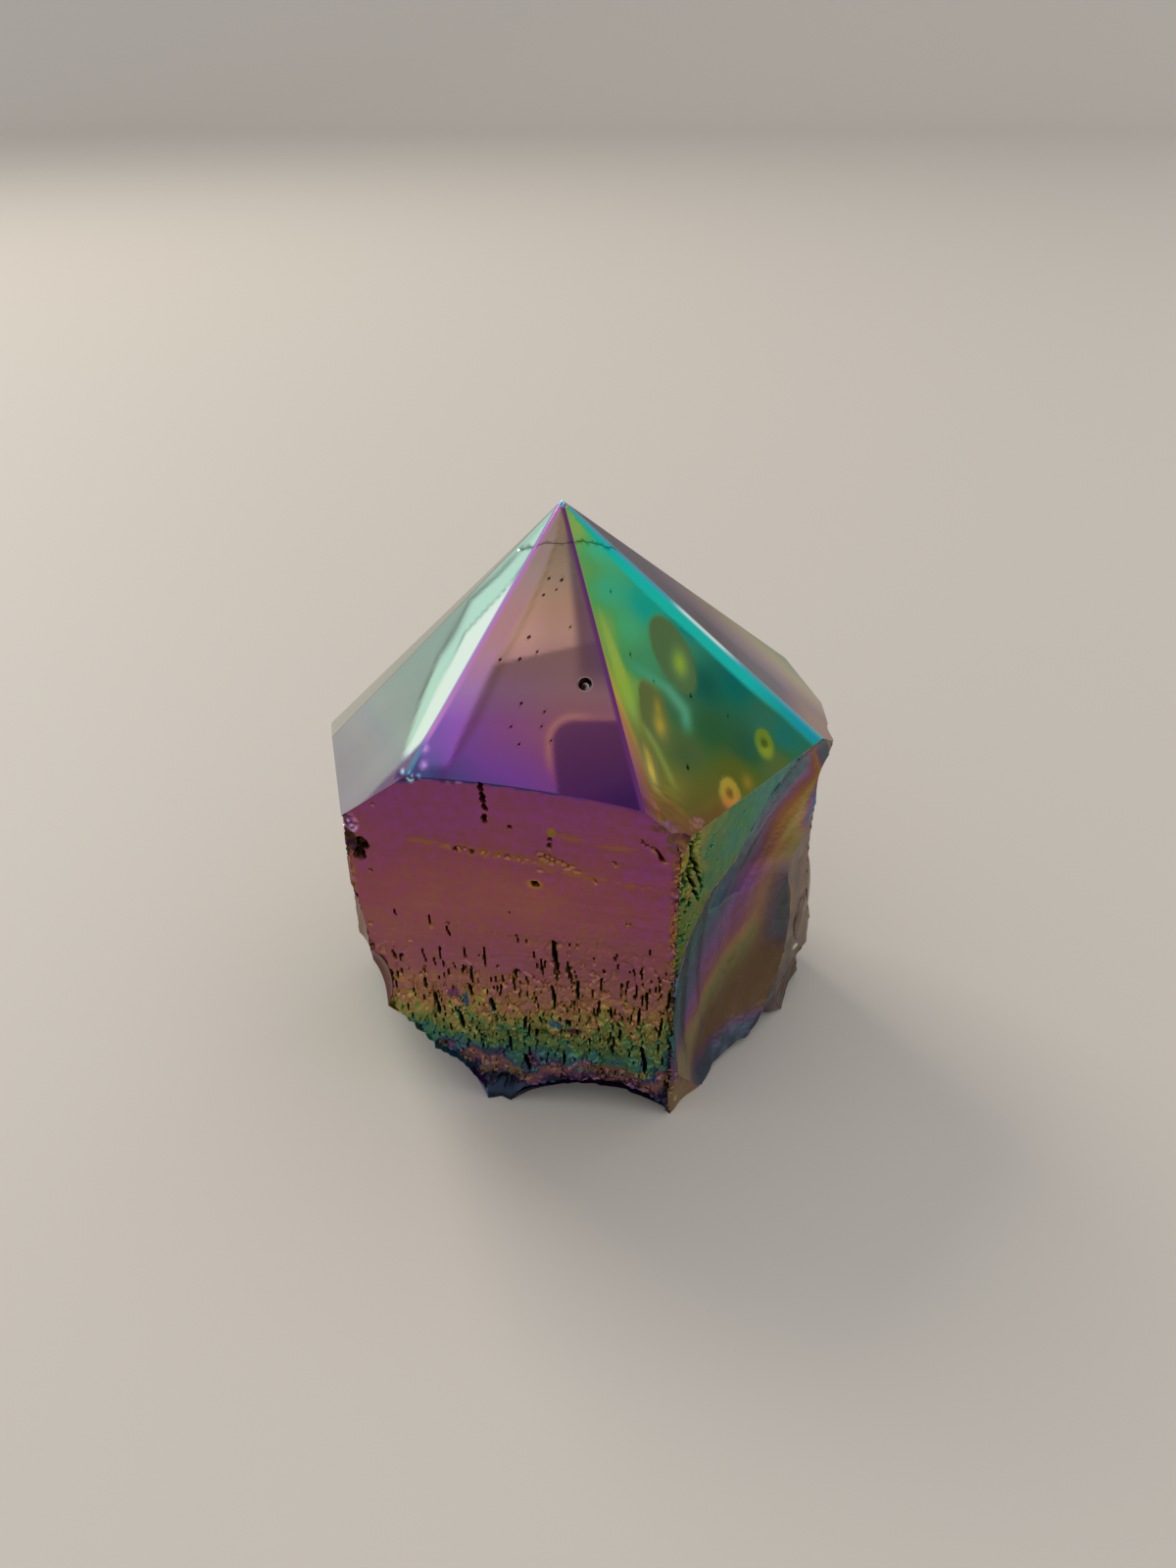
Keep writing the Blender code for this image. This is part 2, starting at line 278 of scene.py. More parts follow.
def all_planes():
    planes = [Plane("prism_" + k, azimuth_vector(a), d) for k, (a, d) in PRISM_FACES.items()]
    for k, (a, s) in TIP_FACETS.items():
        n = azimuth_vector(a, s)
        planes.append(Plane("tip_" + k, n, n @ TIP))
    order = sorted(TIP_FACETS, key=lambda k: TIP_FACETS[k][0])
    for a, b in zip(order, order[1:] + order[:1]):
        planes += ridge_planes(a, b)
    planes.append(Plane("base", (0.0, 0.0, -1.0), 0.0))
    return planes


def corners_of(planes):
    """Every corner of the solid that lies behind all the planes."""
    n = np.array([p.n for p in planes])
    d = np.array([p.d for p in planes])
    three = np.array(list(itertools.combinations(range(len(planes)), 3)))
    rows = n[three]
    good = np.abs(np.linalg.det(rows)) > 1e-5
    found = np.linalg.solve(rows[good], d[three[good]][:, :, None])[:, :, 0]
    found = found[(found @ n.T - d < 1e-6).all(1)]
    corners = []
    for c in found:
        if all(np.linalg.norm(c - o) > 1e-4 for o in corners):
            corners.append(c)
    return np.array(corners)


def tag_material(name):
    return bpy.data.materials.get(name) or bpy.data.materials.new(name)


def body_object(planes):
    """The plain prism and tip, one polygon for each face, tagged with the face's name."""
    corners = corners_of(planes)
    mesh = bpy.data.meshes.new("body")
    polygons, tags = [], []
    for p in planes:
        on = np.where(np.abs(corners @ p.n - p.d) < 1e-4)[0]
        if len(on) < 3:
            continue
        q = p.flat(corners[on])
        q = q - q.mean(0)
        polygons.append(on[np.argsort(np.arctan2(q[:, 1], q[:, 0]))].tolist())
        tags.append(p.name)
    mesh.from_pydata([tuple(c) for c in corners], [], polygons)
    for i, name in enumerate(tags):
        mesh.materials.append(tag_material("tag_" + name))
        mesh.polygons[i].material_index = i
    body = bpy.data.objects.new("body", mesh)
    bpy.context.scene.collection.objects.link(body)
    return body


def scar_frame(along, outward):
    z_axis = unit(outward)
    along = np.asarray(along, float)
    x_axis = unit(along - z_axis * (along @ z_axis))
    return np.stack([x_axis, np.cross(z_axis, x_axis), z_axis], 1)


def scar_ripple(size, half):
    """Soft waves that run along a scar, with finer ones and low steps between them."""
    if max(half) < 6.0:
        return 0.20 * noise3(size / 0.9, 5) + 0.10 * noise3(size / 0.4, 6)
    big = 1.5 * noise3(size / 9.0, 7)
    wave = 0.5 * SCAR_RIPPLE * np.sin(size[:, 1] * 1.3 + big)
    fine = 0.022 * np.sin(size[:, 1] * 4.3 + 3.0 * noise3(size / (14.0, 4.0, 6.0), 8))
    return wave + fine + 0.022 * noise3(size / (9.0, 0.7, 2.0), 9)


def scar_object(name, scar):
    """Ellipsoid cutter for one break scar."""
    centre, half, along, outward = scar
    bm = bmesh.new()
    steps = 6 if max(half) > 12.0 else 5 if max(half) > 6.0 else 4
    bmesh.ops.create_icosphere(bm, subdivisions=steps, radius=1.0)
    mesh = bpy.data.meshes.new(name)
    bm.to_mesh(mesh)
    bm.free()
    co = np.empty(len(mesh.vertices) * 3, np.float32)
    mesh.vertices.foreach_get("co", co)
    size = co.reshape(-1, 3).astype(float) * half
    place = size @ scar_frame(along, outward).T
    out = place / np.linalg.norm(place, axis=1)[:, None]
    co = centre + place + out * scar_ripple(size, half)[:, None]
    mesh.vertices.foreach_set("co", co.astype(np.float32).ravel())
    mesh.materials.append(tag_material("tag_" + name))
    tool = bpy.data.objects.new(name, mesh)
    bpy.context.scene.collection.objects.link(tool)
    return tool


def cut_body(planes):
    """Cut the scars and fuse the lumps. Returns points, polygons and each polygon's face name."""
    body = body_object(planes)
    tools = [(scar_object(k, v), "DIFFERENCE") for k, v in SCARS.items()]
    tools += [(scar_object(k, v), "UNION") for k, v in LUMPS.items()]
    for tool, operation in tools:
        change = body.modifiers.new(tool.name, "BOOLEAN")
        change.operation = operation
        change.solver = "EXACT"
        change.material_mode = "TRANSFER"
        change.object = tool
    bpy.context.view_layer.update()
    shown = body.evaluated_get(bpy.context.evaluated_depsgraph_get())
    mesh = shown.to_mesh()
    names = [m.name[4:] if m else "?" for m in mesh.materials]
    bm = bmesh.new()
    bm.from_mesh(mesh)
    shown.to_mesh_clear()
    bmesh.ops.remove_doubles(bm, verts=bm.verts[:], dist=WELD)
    curved = [f for f in bm.faces if names[f.material_index] in {**SCARS, **LUMPS}]
    bmesh.ops.triangulate(bm, faces=curved)
    bm.verts.ensure_lookup_table()
    points = np.array([v.co[:] for v in bm.verts])
    polygons = [[v.index for v in f.verts] for f in bm.faces]
    tags = [names[f.material_index] for f in bm.faces]
    bm.free()
    for tool, _ in tools:
        bpy.data.objects.remove(tool, do_unlink=True)
    bpy.data.objects.remove(body, do_unlink=True)
    return points, polygons, tags


# ---------------------------------------------------------------- fine net over every flat face
def inside(points, a, b):
    """Which 2-D points lie inside the outline made of segments a-b."""
    hit = np.zeros(len(points), bool)
    for (ax, ay), (bx, by) in zip(a, b):
        crosses = (ay > points[:, 1]) != (by > points[:, 1])
        if ay != by:
            x = ax + (points[:, 1] - ay) * (bx - ax) / (by - ay)
            hit ^= crosses & (points[:, 0] < x)
    return hit


def even_points(low, high, step):
    """Triangular grid with a little scatter."""
    xs = np.arange(low[0], high[0], step)
    ys = np.arange(low[1], high[1], step * TRIANGLE_ROW)
    x, y = np.meshgrid(xs, ys)
    x = x + (np.arange(len(ys)) % 2)[:, None] * step * 0.5
    q = np.stack([x.ravel(), y.ravel()], -1)
    q[:, 0] += 0.12 * step * noise2(q[:, 0] * 3.1, q[:, 1] * 3.1, 21)
    q[:, 1] += 0.12 * step * noise2(q[:, 0] * 3.1, q[:, 1] * 3.1, 22)
    return q


def front_points(low, high):
    """Tall narrow grid for the slotted part of the front face, coarser above it."""
    xs = np.arange(low[0], high[0], FRONT_COLUMN)
    ys = np.arange(low[1], min(high[1], FRONT_FINE_TOP), FRONT_ROW)
    x, y = np.meshgrid(xs, ys)
    y = y + (np.arange(len(xs)) % 2)[None, :] * FRONT_ROW * 0.5
    lower = np.stack([x.ravel(), y.ravel()], -1)
    upper = even_points((low[0], FRONT_FINE_TOP + 0.2), high, FRONT_UPPER)
    return np.concatenate([lower, upper])


def net_points(plane, a, b, extra):
    """Points inside one face, clear of its outline and of its fine features' own points."""
    low, high = np.minimum(a.min(0), b.min(0)), np.maximum(a.max(0), b.max(0))
    step = NET.get(plane.name, NET_OTHER)
    if plane.name == "prism_front":
        q = front_points(low, high)
        least = 0.12
    else:
        q = even_points(low, high, step)
        least = 0.42 * step
    if len(extra):
        near = np.zeros(len(q), bool)
        for e in extra:
            near |= np.hypot(*(q - e[:2]).T) < e[2]
        q = np.concatenate([q[~near], extra[:, :2]])
        least = min(least, 0.1)
    q = q[inside(q, a, b)]
    return q[segment_gap(*q.T, a, b) > least]


def outside_holes(place, tris, walls, a, b):
    """Drop the triangles that fill holes. walls are the outline's edges, a-b the same as places."""
    group = list(range(len(tris)))

    def leader(k):
        while group[k] != k:
            group[k] = group[group[k]]
            k = group[k]
        return k

    seen = {}
    for k, (i, j, m) in enumerate(tris.tolist()):
        for edge in ((min(i, j), max(i, j)), (min(j, m), max(j, m)), (min(i, m), max(i, m))):
            if edge in walls:
                continue
            if edge in seen:
                group[leader(k)] = leader(seen[edge])
            seen[edge] = k
    leaders = np.array([leader(k) for k in range(len(tris))])
    p, q, r = place[tris[:, 0]], place[tris[:, 1]], place[tris[:, 2]]
    area = np.abs((q - p)[:, 0] * (r - p)[:, 1] - (q - p)[:, 1] * (r - p)[:, 0])
    vote = area * np.where(inside((p + q + r) / 3.0, a, b), 1.0, -1.0)
    total = np.bincount(leaders, vote, len(tris))
    return tris[total[leaders] > 0.0]


def fill_face(plane, points, loops, extra):
    """Triangles over one face. loops are pairs of point numbers round its outline."""
    ids = sorted({i for pair in loops for i in pair})
    local = {i: k for k, i in enumerate(ids)}
    rim = plane.flat(points[ids])
    edges = [(local[i], local[j]) for i, j in loops]
    a, b = rim[[e[0] for e in edges]], rim[[e[1] for e in edges]]
    inner = np.zeros((0, 2)) if plane.name.startswith("ridge") else net_points(plane, a, b, extra)
    flat = np.concatenate([rim, inner])
    done = delaunay_2d_cdt([Vector(q) for q in flat], edges, [], 4, 1e-7)
    out, tris, origin = done[0], done[2], done[3]
    place = np.array([q[:] for q in out])
    new_points = plane.lift(place)
    number = np.full(len(out), -1)
    fresh = []
    for k, source in enumerate(origin):
        known = [i for i in source if i < len(ids)]
        if known:
            number[k] = ids[known[0]]
        else:
            number[k] = len(points) + len(fresh)
            fresh.append(new_points[k])
    walls = {(min(i, j), max(i, j)) for i, j in edges}
    kept = outside_holes(place, np.array(tris), walls, a, b)
    return number[kept], fresh


def split_chains(points, polygons, tags, flat_names):
    """Split every ridge between two flat faces evenly. Returns points and outline pairs."""
    sides = {}
    for k, poly in enumerate(polygons):
        for i, j in zip(poly, poly[1:] + poly[:1]):
            sides.setdefault((min(i, j), max(i, j)), []).append(k)
    points = list(points)
    chains = {}
    for (i, j), faces in sides.items():
        names = {tags[k] for k in faces}
        if len(names) < 2:
            continue
        chain = [i, j]
        if names <= flat_names:
            step = min(NET.get(n, NET_OTHER) for n in names)
            parts = math.ceil(np.linalg.norm(points[i] - points[j]) / step)
            ids = []
            for t in range(1, parts):
                ids.append(len(points))
                points.append(points[i] + (points[j] - points[i]) * t / parts)
            chain = [i] + ids + [j]
        for name in names & flat_names:
            chains.setdefault(name, []).extend(zip(chain, chain[1:]))
    return np.array(points), chains


def net_mesh(planes, extras):
    """Points, triangles and the face name of each triangle for the whole stone."""
    points, polygons, tags = cut_body(planes)
    by_name = {p.name: p for p in planes}
    flat_names = set(by_name)
    points, chains = split_chains(points, polygons, tags, flat_names)
    tris, names = [], []
    for poly, tag in zip(polygons, tags):
        if tag not in flat_names:
            tris.append(poly)
            names.append(tag)
    points = points.tolist()
    for name, loops in chains.items():
        extra = extras.get(name, np.zeros((0, 3)))
        found, fresh = fill_face(by_name[name], np.array(points), loops, extra)
        points += [tuple(q) for q in fresh]
        tris += found.tolist()
        names += [name] * len(found)
    return np.array(points), np.array(tris), np.array(names)


# ---------------------------------------------------------------- fine features
# Round pits in the polished facets: along and down from the tip, radius, depth.
PITS = {
    "tip_front": table(
        (3.03, -23.31, 0.85, 0.9), (-1.4, -10.2, 0.18, 0.15), (0.1, -10.4, 0.20, 0.2),
        (-2.0, -12.3, 0.17, 0.15), (-0.5, -11.6, 0.14, 0.1), (1.2, -16.3, 0.16, 0.1),
        (-3.6, -17.6, 0.22, 0.2), (-2.6, -19.4, 0.17, 0.12), (-4.6, -20.3, 0.2, 0.2),
        (-6.9, -20.4, 0.18, 0.2), (-4.3, -25.7, 0.17, 0.2), (-5.4, -28.6, 0.15, 0.15),
        (-1.6, -26.7, 0.14, 0.15), (-4.4, -30.9, 0.15, 0.2), (-1.9, -28.5, 0.14, 0.1),
        (-0.8, -30.3, 0.16, 0.1)),
    "tip_right": table(
        (1.37, -28.19, 0.22, 0.2), (-5.11, -35.31, 0.26, 0.25), (-1.0, -12.6, 0.16, 0.12),
        (-3.6, -20.4, 0.18, 0.12), (5.0, -32.6, 0.14, 0.1), (-2.6, -24.5, 0.13, 0.1)),
}
BIG_PIT = 0.5
NICK_WAY = (0.55, 0.84)
# Net points on rings round a pit: share of its radius, count.
PIT_RINGS = ((0.0, 1), (0.55, 8), (0.95, 12), (1.25, 12))
# How far extra net points keep the plain net off, and their spacing along the tip's crack.
CLEARING = 0.2
CRACK_STEP = 0.12


def pit_share(s, t, ps, pt, radius):
    """Distance from a pit's middle in radii. Small pits are slanting nicks."""
    if radius > BIG_PIT:
        return np.hypot(s - ps, t - pt) / radius
    way_s, way_t = NICK_WAY
    along = way_s * (s - ps) + way_t * (t - pt)
    across = way_t * (s - ps) - way_s * (t - pt)
    return np.hypot(along / 1.35, across / 0.8) / radius


def facet_place(plane, p):
    """Place in a polished facet measured from the tip: along, and up the slope (negative)."""
    return plane.flat(p) - plane.flat(TIP[None])[0]


def pit_points(planes):
    """Extra net points at pits, crack and ridges of each facet, as place and clearing radius."""
    extras = {}
    by_name = {plane.name: plane for plane in planes}
    for plane in planes:
        rows = []
        origin = plane.flat(TIP[None])[0]
        for s, t, radius, _ in PITS.get(plane.name, ()):
            for share, count in PIT_RINGS:
                for k in range(count):
                    a = 2 * math.pi * (k + share) / count
                    ring = radius * share * np.array((math.cos(a), math.sin(a)))
                    rows.append((*(origin + (s, t) + ring), max(CLEARING, radius * 0.5)))
        parts = [np.array(rows)] if rows else []
        if plane.name in RING_FACETS[:3]:
            parts.append(ring_points(plane))
        for own, other, _ in RIDGE_LINES:
            if own == plane.name:
                parts.append(ridge_rows(plane, by_name[other]))
        if parts:
            extras[plane.name] = np.concatenate(parts)
    return extras


# Upright slots of the lower front face that stand out: x, z, half width, half length, depth, lean.
BIG_SLOTS = table(
    (-4.1, 26.6, 0.16, 2.6, 1.2, -0.12), (-18.6, 25.5, 0.05, 1.2, 0.8, 0.0),
    (-15.5, 25.9, 0.05, 1.0, 0.7, -0.15), (-17.3, 29.3, 0.04, 0.8, 0.7, -0.15),
    (-13.0, 25.4, 0.06, 1.7, 0.8, 0.0), (-5.8, 24.5, 0.07, 1.6, 0.8, 0.0),
    (-2.5, 24.2, 0.06, 1.5, 0.8, -0.05), (-9.2, 22.7, 0.05, 0.7, 0.7, -0.1),
    (-7.7, 22.0, 0.05, 0.7, 0.7, -0.1), (-1.3, 20.9, 0.09, 1.6, 0.9, 0.0),
    (1.6, 22.4, 0.05, 1.2, 0.8, 0.0), (4.2, 22.3, 0.05, 0.6, 0.7, 0.0),
    (4.9, 22.6, 0.05, 0.7, 0.7, 0.0), (7.4, 20.1, 0.07, 1.6, 0.9, -0.03), (6.6, 24.6, 0.05, 0.7, 0.7, 0.0),
    (10.1, 20.1, 0.07, 1.6, 0.8, 0.05), (-4.4, 20.0, 0.11, 1.6, 0.9, -0.1),
    (-14.8, 22.0, 0.09, 1.6, 0.8, -0.05), (-15.2, 19.3, 0.14, 1.1, 0.8, -0.2),
    (-12.4, 17.2, 0.14, 1.1, 0.8, -0.15), (-20.9, 20.0, 0.09, 1.0, 0.8, 0.0),
    (-19.7, 16.3, 0.14, 1.7, 0.9, -0.08), (6.4, 16.8, 0.08, 1.2, 0.8, 0.1), (9.2, 15.4, 0.09, 1.7, 0.8, 0.1),
    (-8.3, 14.0, 0.06, 1.2, 0.8, 0.0), (7.2, 9.4, 0.17, 2.4, 1.0, -0.12), (-2.7, 14.9, 0.20, 0.7, 0.8, -0.3),
    (-8.2, 7.0, 0.18, 1.5, 1.0, -0.2), (-10.4, 10.0, 0.09, 1.4, 0.8, 0.0), (-3.3, 8.2, 0.06, 1.2, 0.8, -0.1),
    (-24.6, 24.6, 0.05, 0.8, 0.7, -0.2), (-11.2, 19.8, 0.05, 0.9, 0.7, 0.1), (2.9, 17.4, 0.05, 0.9, 0.8, 0.0),
    (1.2, 17.3, 0.05, 0.8, 0.8, 0.1), (-16.6, 13.6, 0.10, 1.3, 0.8, -0.1), (4.0, 13.0, 0.05, 0.9, 0.8, 0.1))


def make_slots(seed, count):
    """Small upright slots between the big ones, in the same terms."""
    rng = random.Random(seed)
    slots = BIG_SLOTS.tolist()
    while len(slots) < count:
        x = rng.uniform(-25.5, 10.0)
        z = 8.5 + 20.0 * rng.random() ** 0.9
        length = rng.choice((0.25, 0.35, 0.5, 0.7, 0.9)) * rng.uniform(0.8, 1.2)
        if z - length < 15.0 - 0.9 * (x + 24.0) or (z > 25.0 and rng.random() < 0.6):
            continue
        width, depth, lean = rng.choice((0.0, 0.02, 0.04)), rng.uniform(0.5, 0.8), rng.uniform(-0.15, 0.1)
        slots.append((x, z, width, length, depth, lean))
    return slots


SLOTS = make_slots(seed=11, count=190)

# Layers of shingles: width, height, depth, level of noise where they start, how much more of them
# stand in the speckled band, share of the old face that each takes away.
SHINGLES = (
    (1.5, 2.6, 0.24, 0.78, 0.0, 1.0), (0.62, 1.5, 0.16, 0.66, 0.5, 0.85), (0.34, 0.7, 0.10, 0.60, 1.0, 0.6))


def slot_depth(x, z):
    """Depth of all the slots at places on the front face."""
    deep = np.zeros_like(x)
    wander = 0.10 * noise2(x * 0.0 + 1.0, z / 0.9, 31)
    for sx, sz, width, length, depth, lean in SLOTS:
        near = np.where((np.abs(z - sz) < length) & (np.abs(x - sx) < 1.2))[0]
        if not len(near):
            continue
        dz = (z[near] - sz) / length
        middle = sx + lean * dz * length + wander[near]
        wide = (width + 0.04) * (1.0 - dz * dz) ** 0.3
        across = np.abs(x[near] - middle) / np.maximum(wide, 0.03)
        cut = depth * np.clip((1.35 - across) / 0.6, 0.0, 1.0)
        deep[near] = np.maximum(deep[near], cut)
    return deep


def shingles(x, z):
    """Broken upright shingles: depth, share of the old face gone, and cracks at their sides."""
    low = smooth(ETCH_TOP - z, 0.0, 24.0)
    speckle = 0.22 * bell(z + 0.1 * x, 28.5, 2.2)
    warp = 0.35 * noise2(x / 1.1, z / 1.1, 41)
    depth, gone, crack = np.zeros_like(x), np.zeros_like(x), np.zeros_like(x)
    for k, (wide, tall, step, start, spread, taken) in enumerate(SHINGLES):
        limit = start - 0.85 * low - spread * speckle
        n = rough2((x + warp) / wide, (z + warp) / tall, 42 + 5 * k, 2)
        beside = rough2((x + 0.09 + warp) / wide, (z + warp) / tall, 42 + 5 * k, 2)
        part = smooth(n, limit, limit + 0.08)
        depth += step * part
        gone = np.maximum(gone, part * taken)
        if k < 2:
            wall = bell(n, limit + 0.03, 0.05) * smooth(beside - n, 0.02, 0.06)
            crack = np.maximum(crack, wall * smooth(noise2(x / 1.6, z / 1.2, 60 + k), -0.25, 0.15))
    fade = smooth(z, 0.5, 3.0) * smooth(low, 0.0, 0.05)
    return depth * fade, gone * fade, crack * fade


def block_depth(x, z):
    """Large blocks that step back unevenly near the bottom, and each block's number."""
    eaten = smooth(ETCH_TOP - z, 0.0, 16.0)
    wx = x + 0.9 * noise2(x / 3.0, z / 3.0, 51)
    wz = z + 1.1 * noise2(x / 3.0, z / 3.0, 52)
    _, _, number = cells2(wx / 2.6, wz / 4.2, 53)
    return eaten * ETCH_DEPTH * (0.25 + number) * smooth(z, 0.0, 3.0), number


def grooves(x, z, lines):
    """Depth of narrow grooves. lines rows: both ends, width, depth."""
    deep = np.zeros_like(x)
    for ax, az, bx, bz, width, depth in lines:
        gap = segment_gap(x, z, ((ax, az),), ((bx, bz),))
        deep = np.maximum(deep, depth * fall(gap, 0.4 * width, width))
    return deep


def band_height(x, z):
    """Height measured along the growth lines, which drop to the right."""
    return z + 0.12 * x


# Grooves of the front face: x and z of both ends, width, depth.
FRONT_LINES = table(
    (-12.25, 51.3, -11.85, 47.2, 0.20, 0.8), (-12.1, 46.6, -11.9, 46.0, 0.24, 0.7),
    (-4.5, 44.6, -4.5, 43.0, 0.14, 0.5), (-6.1, 42.4, -3.0, 41.2, 0.20, 0.3),
    (-4.0, 41.4, -1.6, 40.6, 0.16, 0.3), (-2.6, 40.4, -0.9, 40.0, 0.16, 0.3),
    (-5.4, 41.6, -4.2, 41.0, 0.30, 0.3), (0.5, 39.4, 1.0, 38.3, 0.16, 0.3),
    (3.1, 41.5, 3.5, 41.2, 0.22, 0.3), (-3.9, 45.3, -3.4, 44.6, 0.16, 0.4),
    (6.1, 44.9, 7.6, 43.9, 0.18, 0.4), (7.6, 43.9, 9.0, 42.3, 0.24, 0.55),
    (-6.6, 39.9, -5.4, 39.7, 0.12, 0.2), (-19.6, 31.6, -19.5, 30.2, 0.12, 0.5),
    (-23.8, 32.0, -23.8, 31.2, 0.14, 0.5))
# Its pits: x, z, half width, half height, depth.
FRONT_PITS = table(
    (-27.0, 41.9, 0.85, 0.9, 1.2), (-27.4, 40.5, 0.75, 1.05, 1.2), (-6.4, 37.7, 0.5, 0.34, 0.9),
    (-15.6, 42.0, 0.22, 0.2, 0.5), (-13.9, 41.6, 0.22, 0.2, 0.5), (-14.6, 42.2, 0.16, 0.14, 0.4),
    (-9.0, 45.4, 0.2, 0.24, 0.5), (-26.2, 38.0, 0.2, 0.2, 0.4), (4.9, 32.7, 0.34, 0.3, 0.3),
    (-9.6, 33.0, 0.2, 0.22, 0.4), (-17.3, 30.6, 0.3, 0.3, 0.3), (-24.9, 47.6, 0.16, 0.18, 0.4))


def front_marks(x, z):
    """Crack, chip, pits and scratches of the front face."""
    wx = x + 0.12 * noise2(x / 0.6, z / 0.6, 71)
    wz = z + 0.10 * noise2(x / 0.7, z / 0.7, 73)
    deep = grooves(wx, wz, FRONT_LINES)
    ragged = 0.25 * noise2(x / 0.45, z / 0.45, 61)
    for *place, depth in FRONT_PITS:
        deep = np.maximum(deep, depth * fall(spot(x, z, *place) + ragged, 0.55, 1.0))
    number = cells2(x / 0.5, z / 0.42, 72)[2]
    line = bell(band_height(x, z), 40.3, 0.5) * stretch(x, -19.0, -15.0, -8.0, -5.0)
    return np.maximum(deep, 0.25 * line * (number > 0.7))


def edge_grain(x, z, gap, width, seed):
    """Loose broken grains beside a worn edge. gap is the distance from the edge."""
    first, second, number = cells2(x / 0.6, z / 0.55, seed)
    grain = number * 0.34 + 0.25 * fall(second - first, 0.0, 0.25)
    return fall(gap, 0.25 * width, width) * grain


def front_depth(x, z, gap_right, gap_left, gap_top):
    """How far the front face lies behind its plane, and what the paint needs to know about it."""
    band = band_height(x, z)
    soft = 0.13 + 0.05 * noise2(x / 9.0, z / 1.9, 81) + 0.05 * noise2(x / 6.0, z / 6.0, 82)
    lines = 0.028 * noise2(x / 7.0, band / 0.42, 83) + 0.02 * noise2(x / 3.0, band / 0.9, 84)
    fade = smooth(gap_top, 0.0, 0.9)
    low = smooth(z, 0.0, 2.0)
    block, number = block_depth(x, z)
    step, gone, crack = shingles(x, z)
    slot = np.maximum(slot_depth(x, z) * low, 0.5 * crack)
    marks = front_marks(x, z)
    deep = (soft + lines) * (0.15 + 0.85 * fade) + block + step + marks + slot
    grain = edge_grain(x, z, gap_right, 1.3, 85) + 0.6 * edge_grain(x, z, gap_left, 1.0, 86)
    deep = deep + grain * smooth(z, 1.0, 3.0)
    return deep, {"slot": slot, "gone": gone, "block": number, "marks": marks}


def natural_depth(s, z, seed):
    """Worn natural faces that are not seen from the front."""
    soft = 0.18 + 0.06 * noise2(s / 9.0, z / 1.9, seed) + 0.06 * noise2(s / 6.0, z / 6.0, seed + 1)
    lines = 0.03 * noise2(s / 8.0, z / 0.8, seed + 2)
    n = rough2(s / 1.6, z / 3.2, seed + 3, 3)
    low = smooth(24.0 - z, 0.0, 22.0)
    gone = 0.45 * smooth(n, 0.62 - 0.8 * low, 0.74 - 0.8 * low) * smooth(z, 0.5, 3.0)
    n2 = rough2(s / 0.8, z / 2.0, seed + 7, 2)
    gone = gone + 0.25 * smooth(n2, 0.7 - 0.7 * low, 0.82 - 0.7 * low) * smooth(z, 0.5, 3.0)
    return soft + lines + gone


# Grooves of the right front face by distance from the front edge and height.
RIGHT_FRONT_LINES = table(
    (2.4, 44.2, 2.2, 41.5, 0.36, 0.8), (2.2, 41.5, 2.1, 38.7, 0.26, 0.9), (2.1, 38.7, 0.8, 37.5, 0.26, 0.8),
    (2.6, 41.5, 3.7, 38.8, 0.32, 0.8), (3.7, 38.8, 4.6, 36.2, 0.26, 0.8), (4.5, 36.0, 4.1, 34.6, 0.24, 0.7),
    (2.4, 38.5, 3.9, 35.0, 0.22, 0.7), (2.1, 35.9, 2.3, 34.9, 0.24, 0.6), (1.4, 34.6, 1.7, 33.6, 0.16, 0.5),
    (5.4, 42.0, 5.2, 40.2, 0.14, 0.5), (6.3, 43.2, 6.1, 41.4, 0.12, 0.5), (7.5, 39.0, 7.4, 37.8, 0.11, 0.4),
    (3.2, 33.0, 3.0, 31.6, 0.13, 0.4), (2.2, 32.4, 2.4, 31.4, 0.11, 0.4), (12.4, 43.6, 12.3, 42.4, 0.10, 0.4))


def right_front_depth(s, z, gap_left):
    """The narrow face right of the front edge: upright pits beside the edge, smoother beyond."""
    soft = 0.15 + 0.05 * noise2(s / 3.0, z / 2.0, 91) + 0.03 * noise2(s / 1.0, z / 4.0, 92)
    beside = fall(gap_left, 1.0, 6.0)
    n = rough2(s / 0.45, z / 1.6, 93, 3)
    pits = 0.45 * smooth(n, 0.50 - 0.32 * beside, 0.60 - 0.32 * beside) * (0.05 + 0.95 * beside)
    few = 0.4 * smooth(rough2(s / 0.35, z / 1.2, 96, 2), 0.74, 0.8) * fall(s, 9.0, 12.0)
    marks = grooves(s + 0.14 * noise2(s / 0.5, z / 0.5, 98), z, RIGHT_FRONT_LINES)
    return soft + np.maximum(pits + few, marks) + edge_grain(s, z, gap_left, 1.2, 97)


# Lens-shaped hollows in the right polished facet: along, up, half length, half width, turn, depth.
LENSES = table(
    (2.4, -22.8, 5.7, 3.0, 80.0, 0.10), (-5.2, -27.8, 4.8, 2.1, 68.0, 0.10),
    (-10.0, -32.6, 3.5, 1.3, 76.0, 0.07), (8.0, -37.8, 2.3, 1.7, 60.0, 0.05),
    (-1.5, -40.6, 2.3, 1.7, 60.0, 0.05), (2.0, -40.7, 1.3, 1.0, 60.0, 0.03))


def lens_share(s, t):
    """How deep inside each lens a place lies: 0 outside to 1 at its middle."""
    ovals = [oval(s - ls, t - lt, *shape) for ls, lt, *shape, _ in LENSES]
    return np.clip(1.0 - np.array(ovals), 0.0, 1.0)


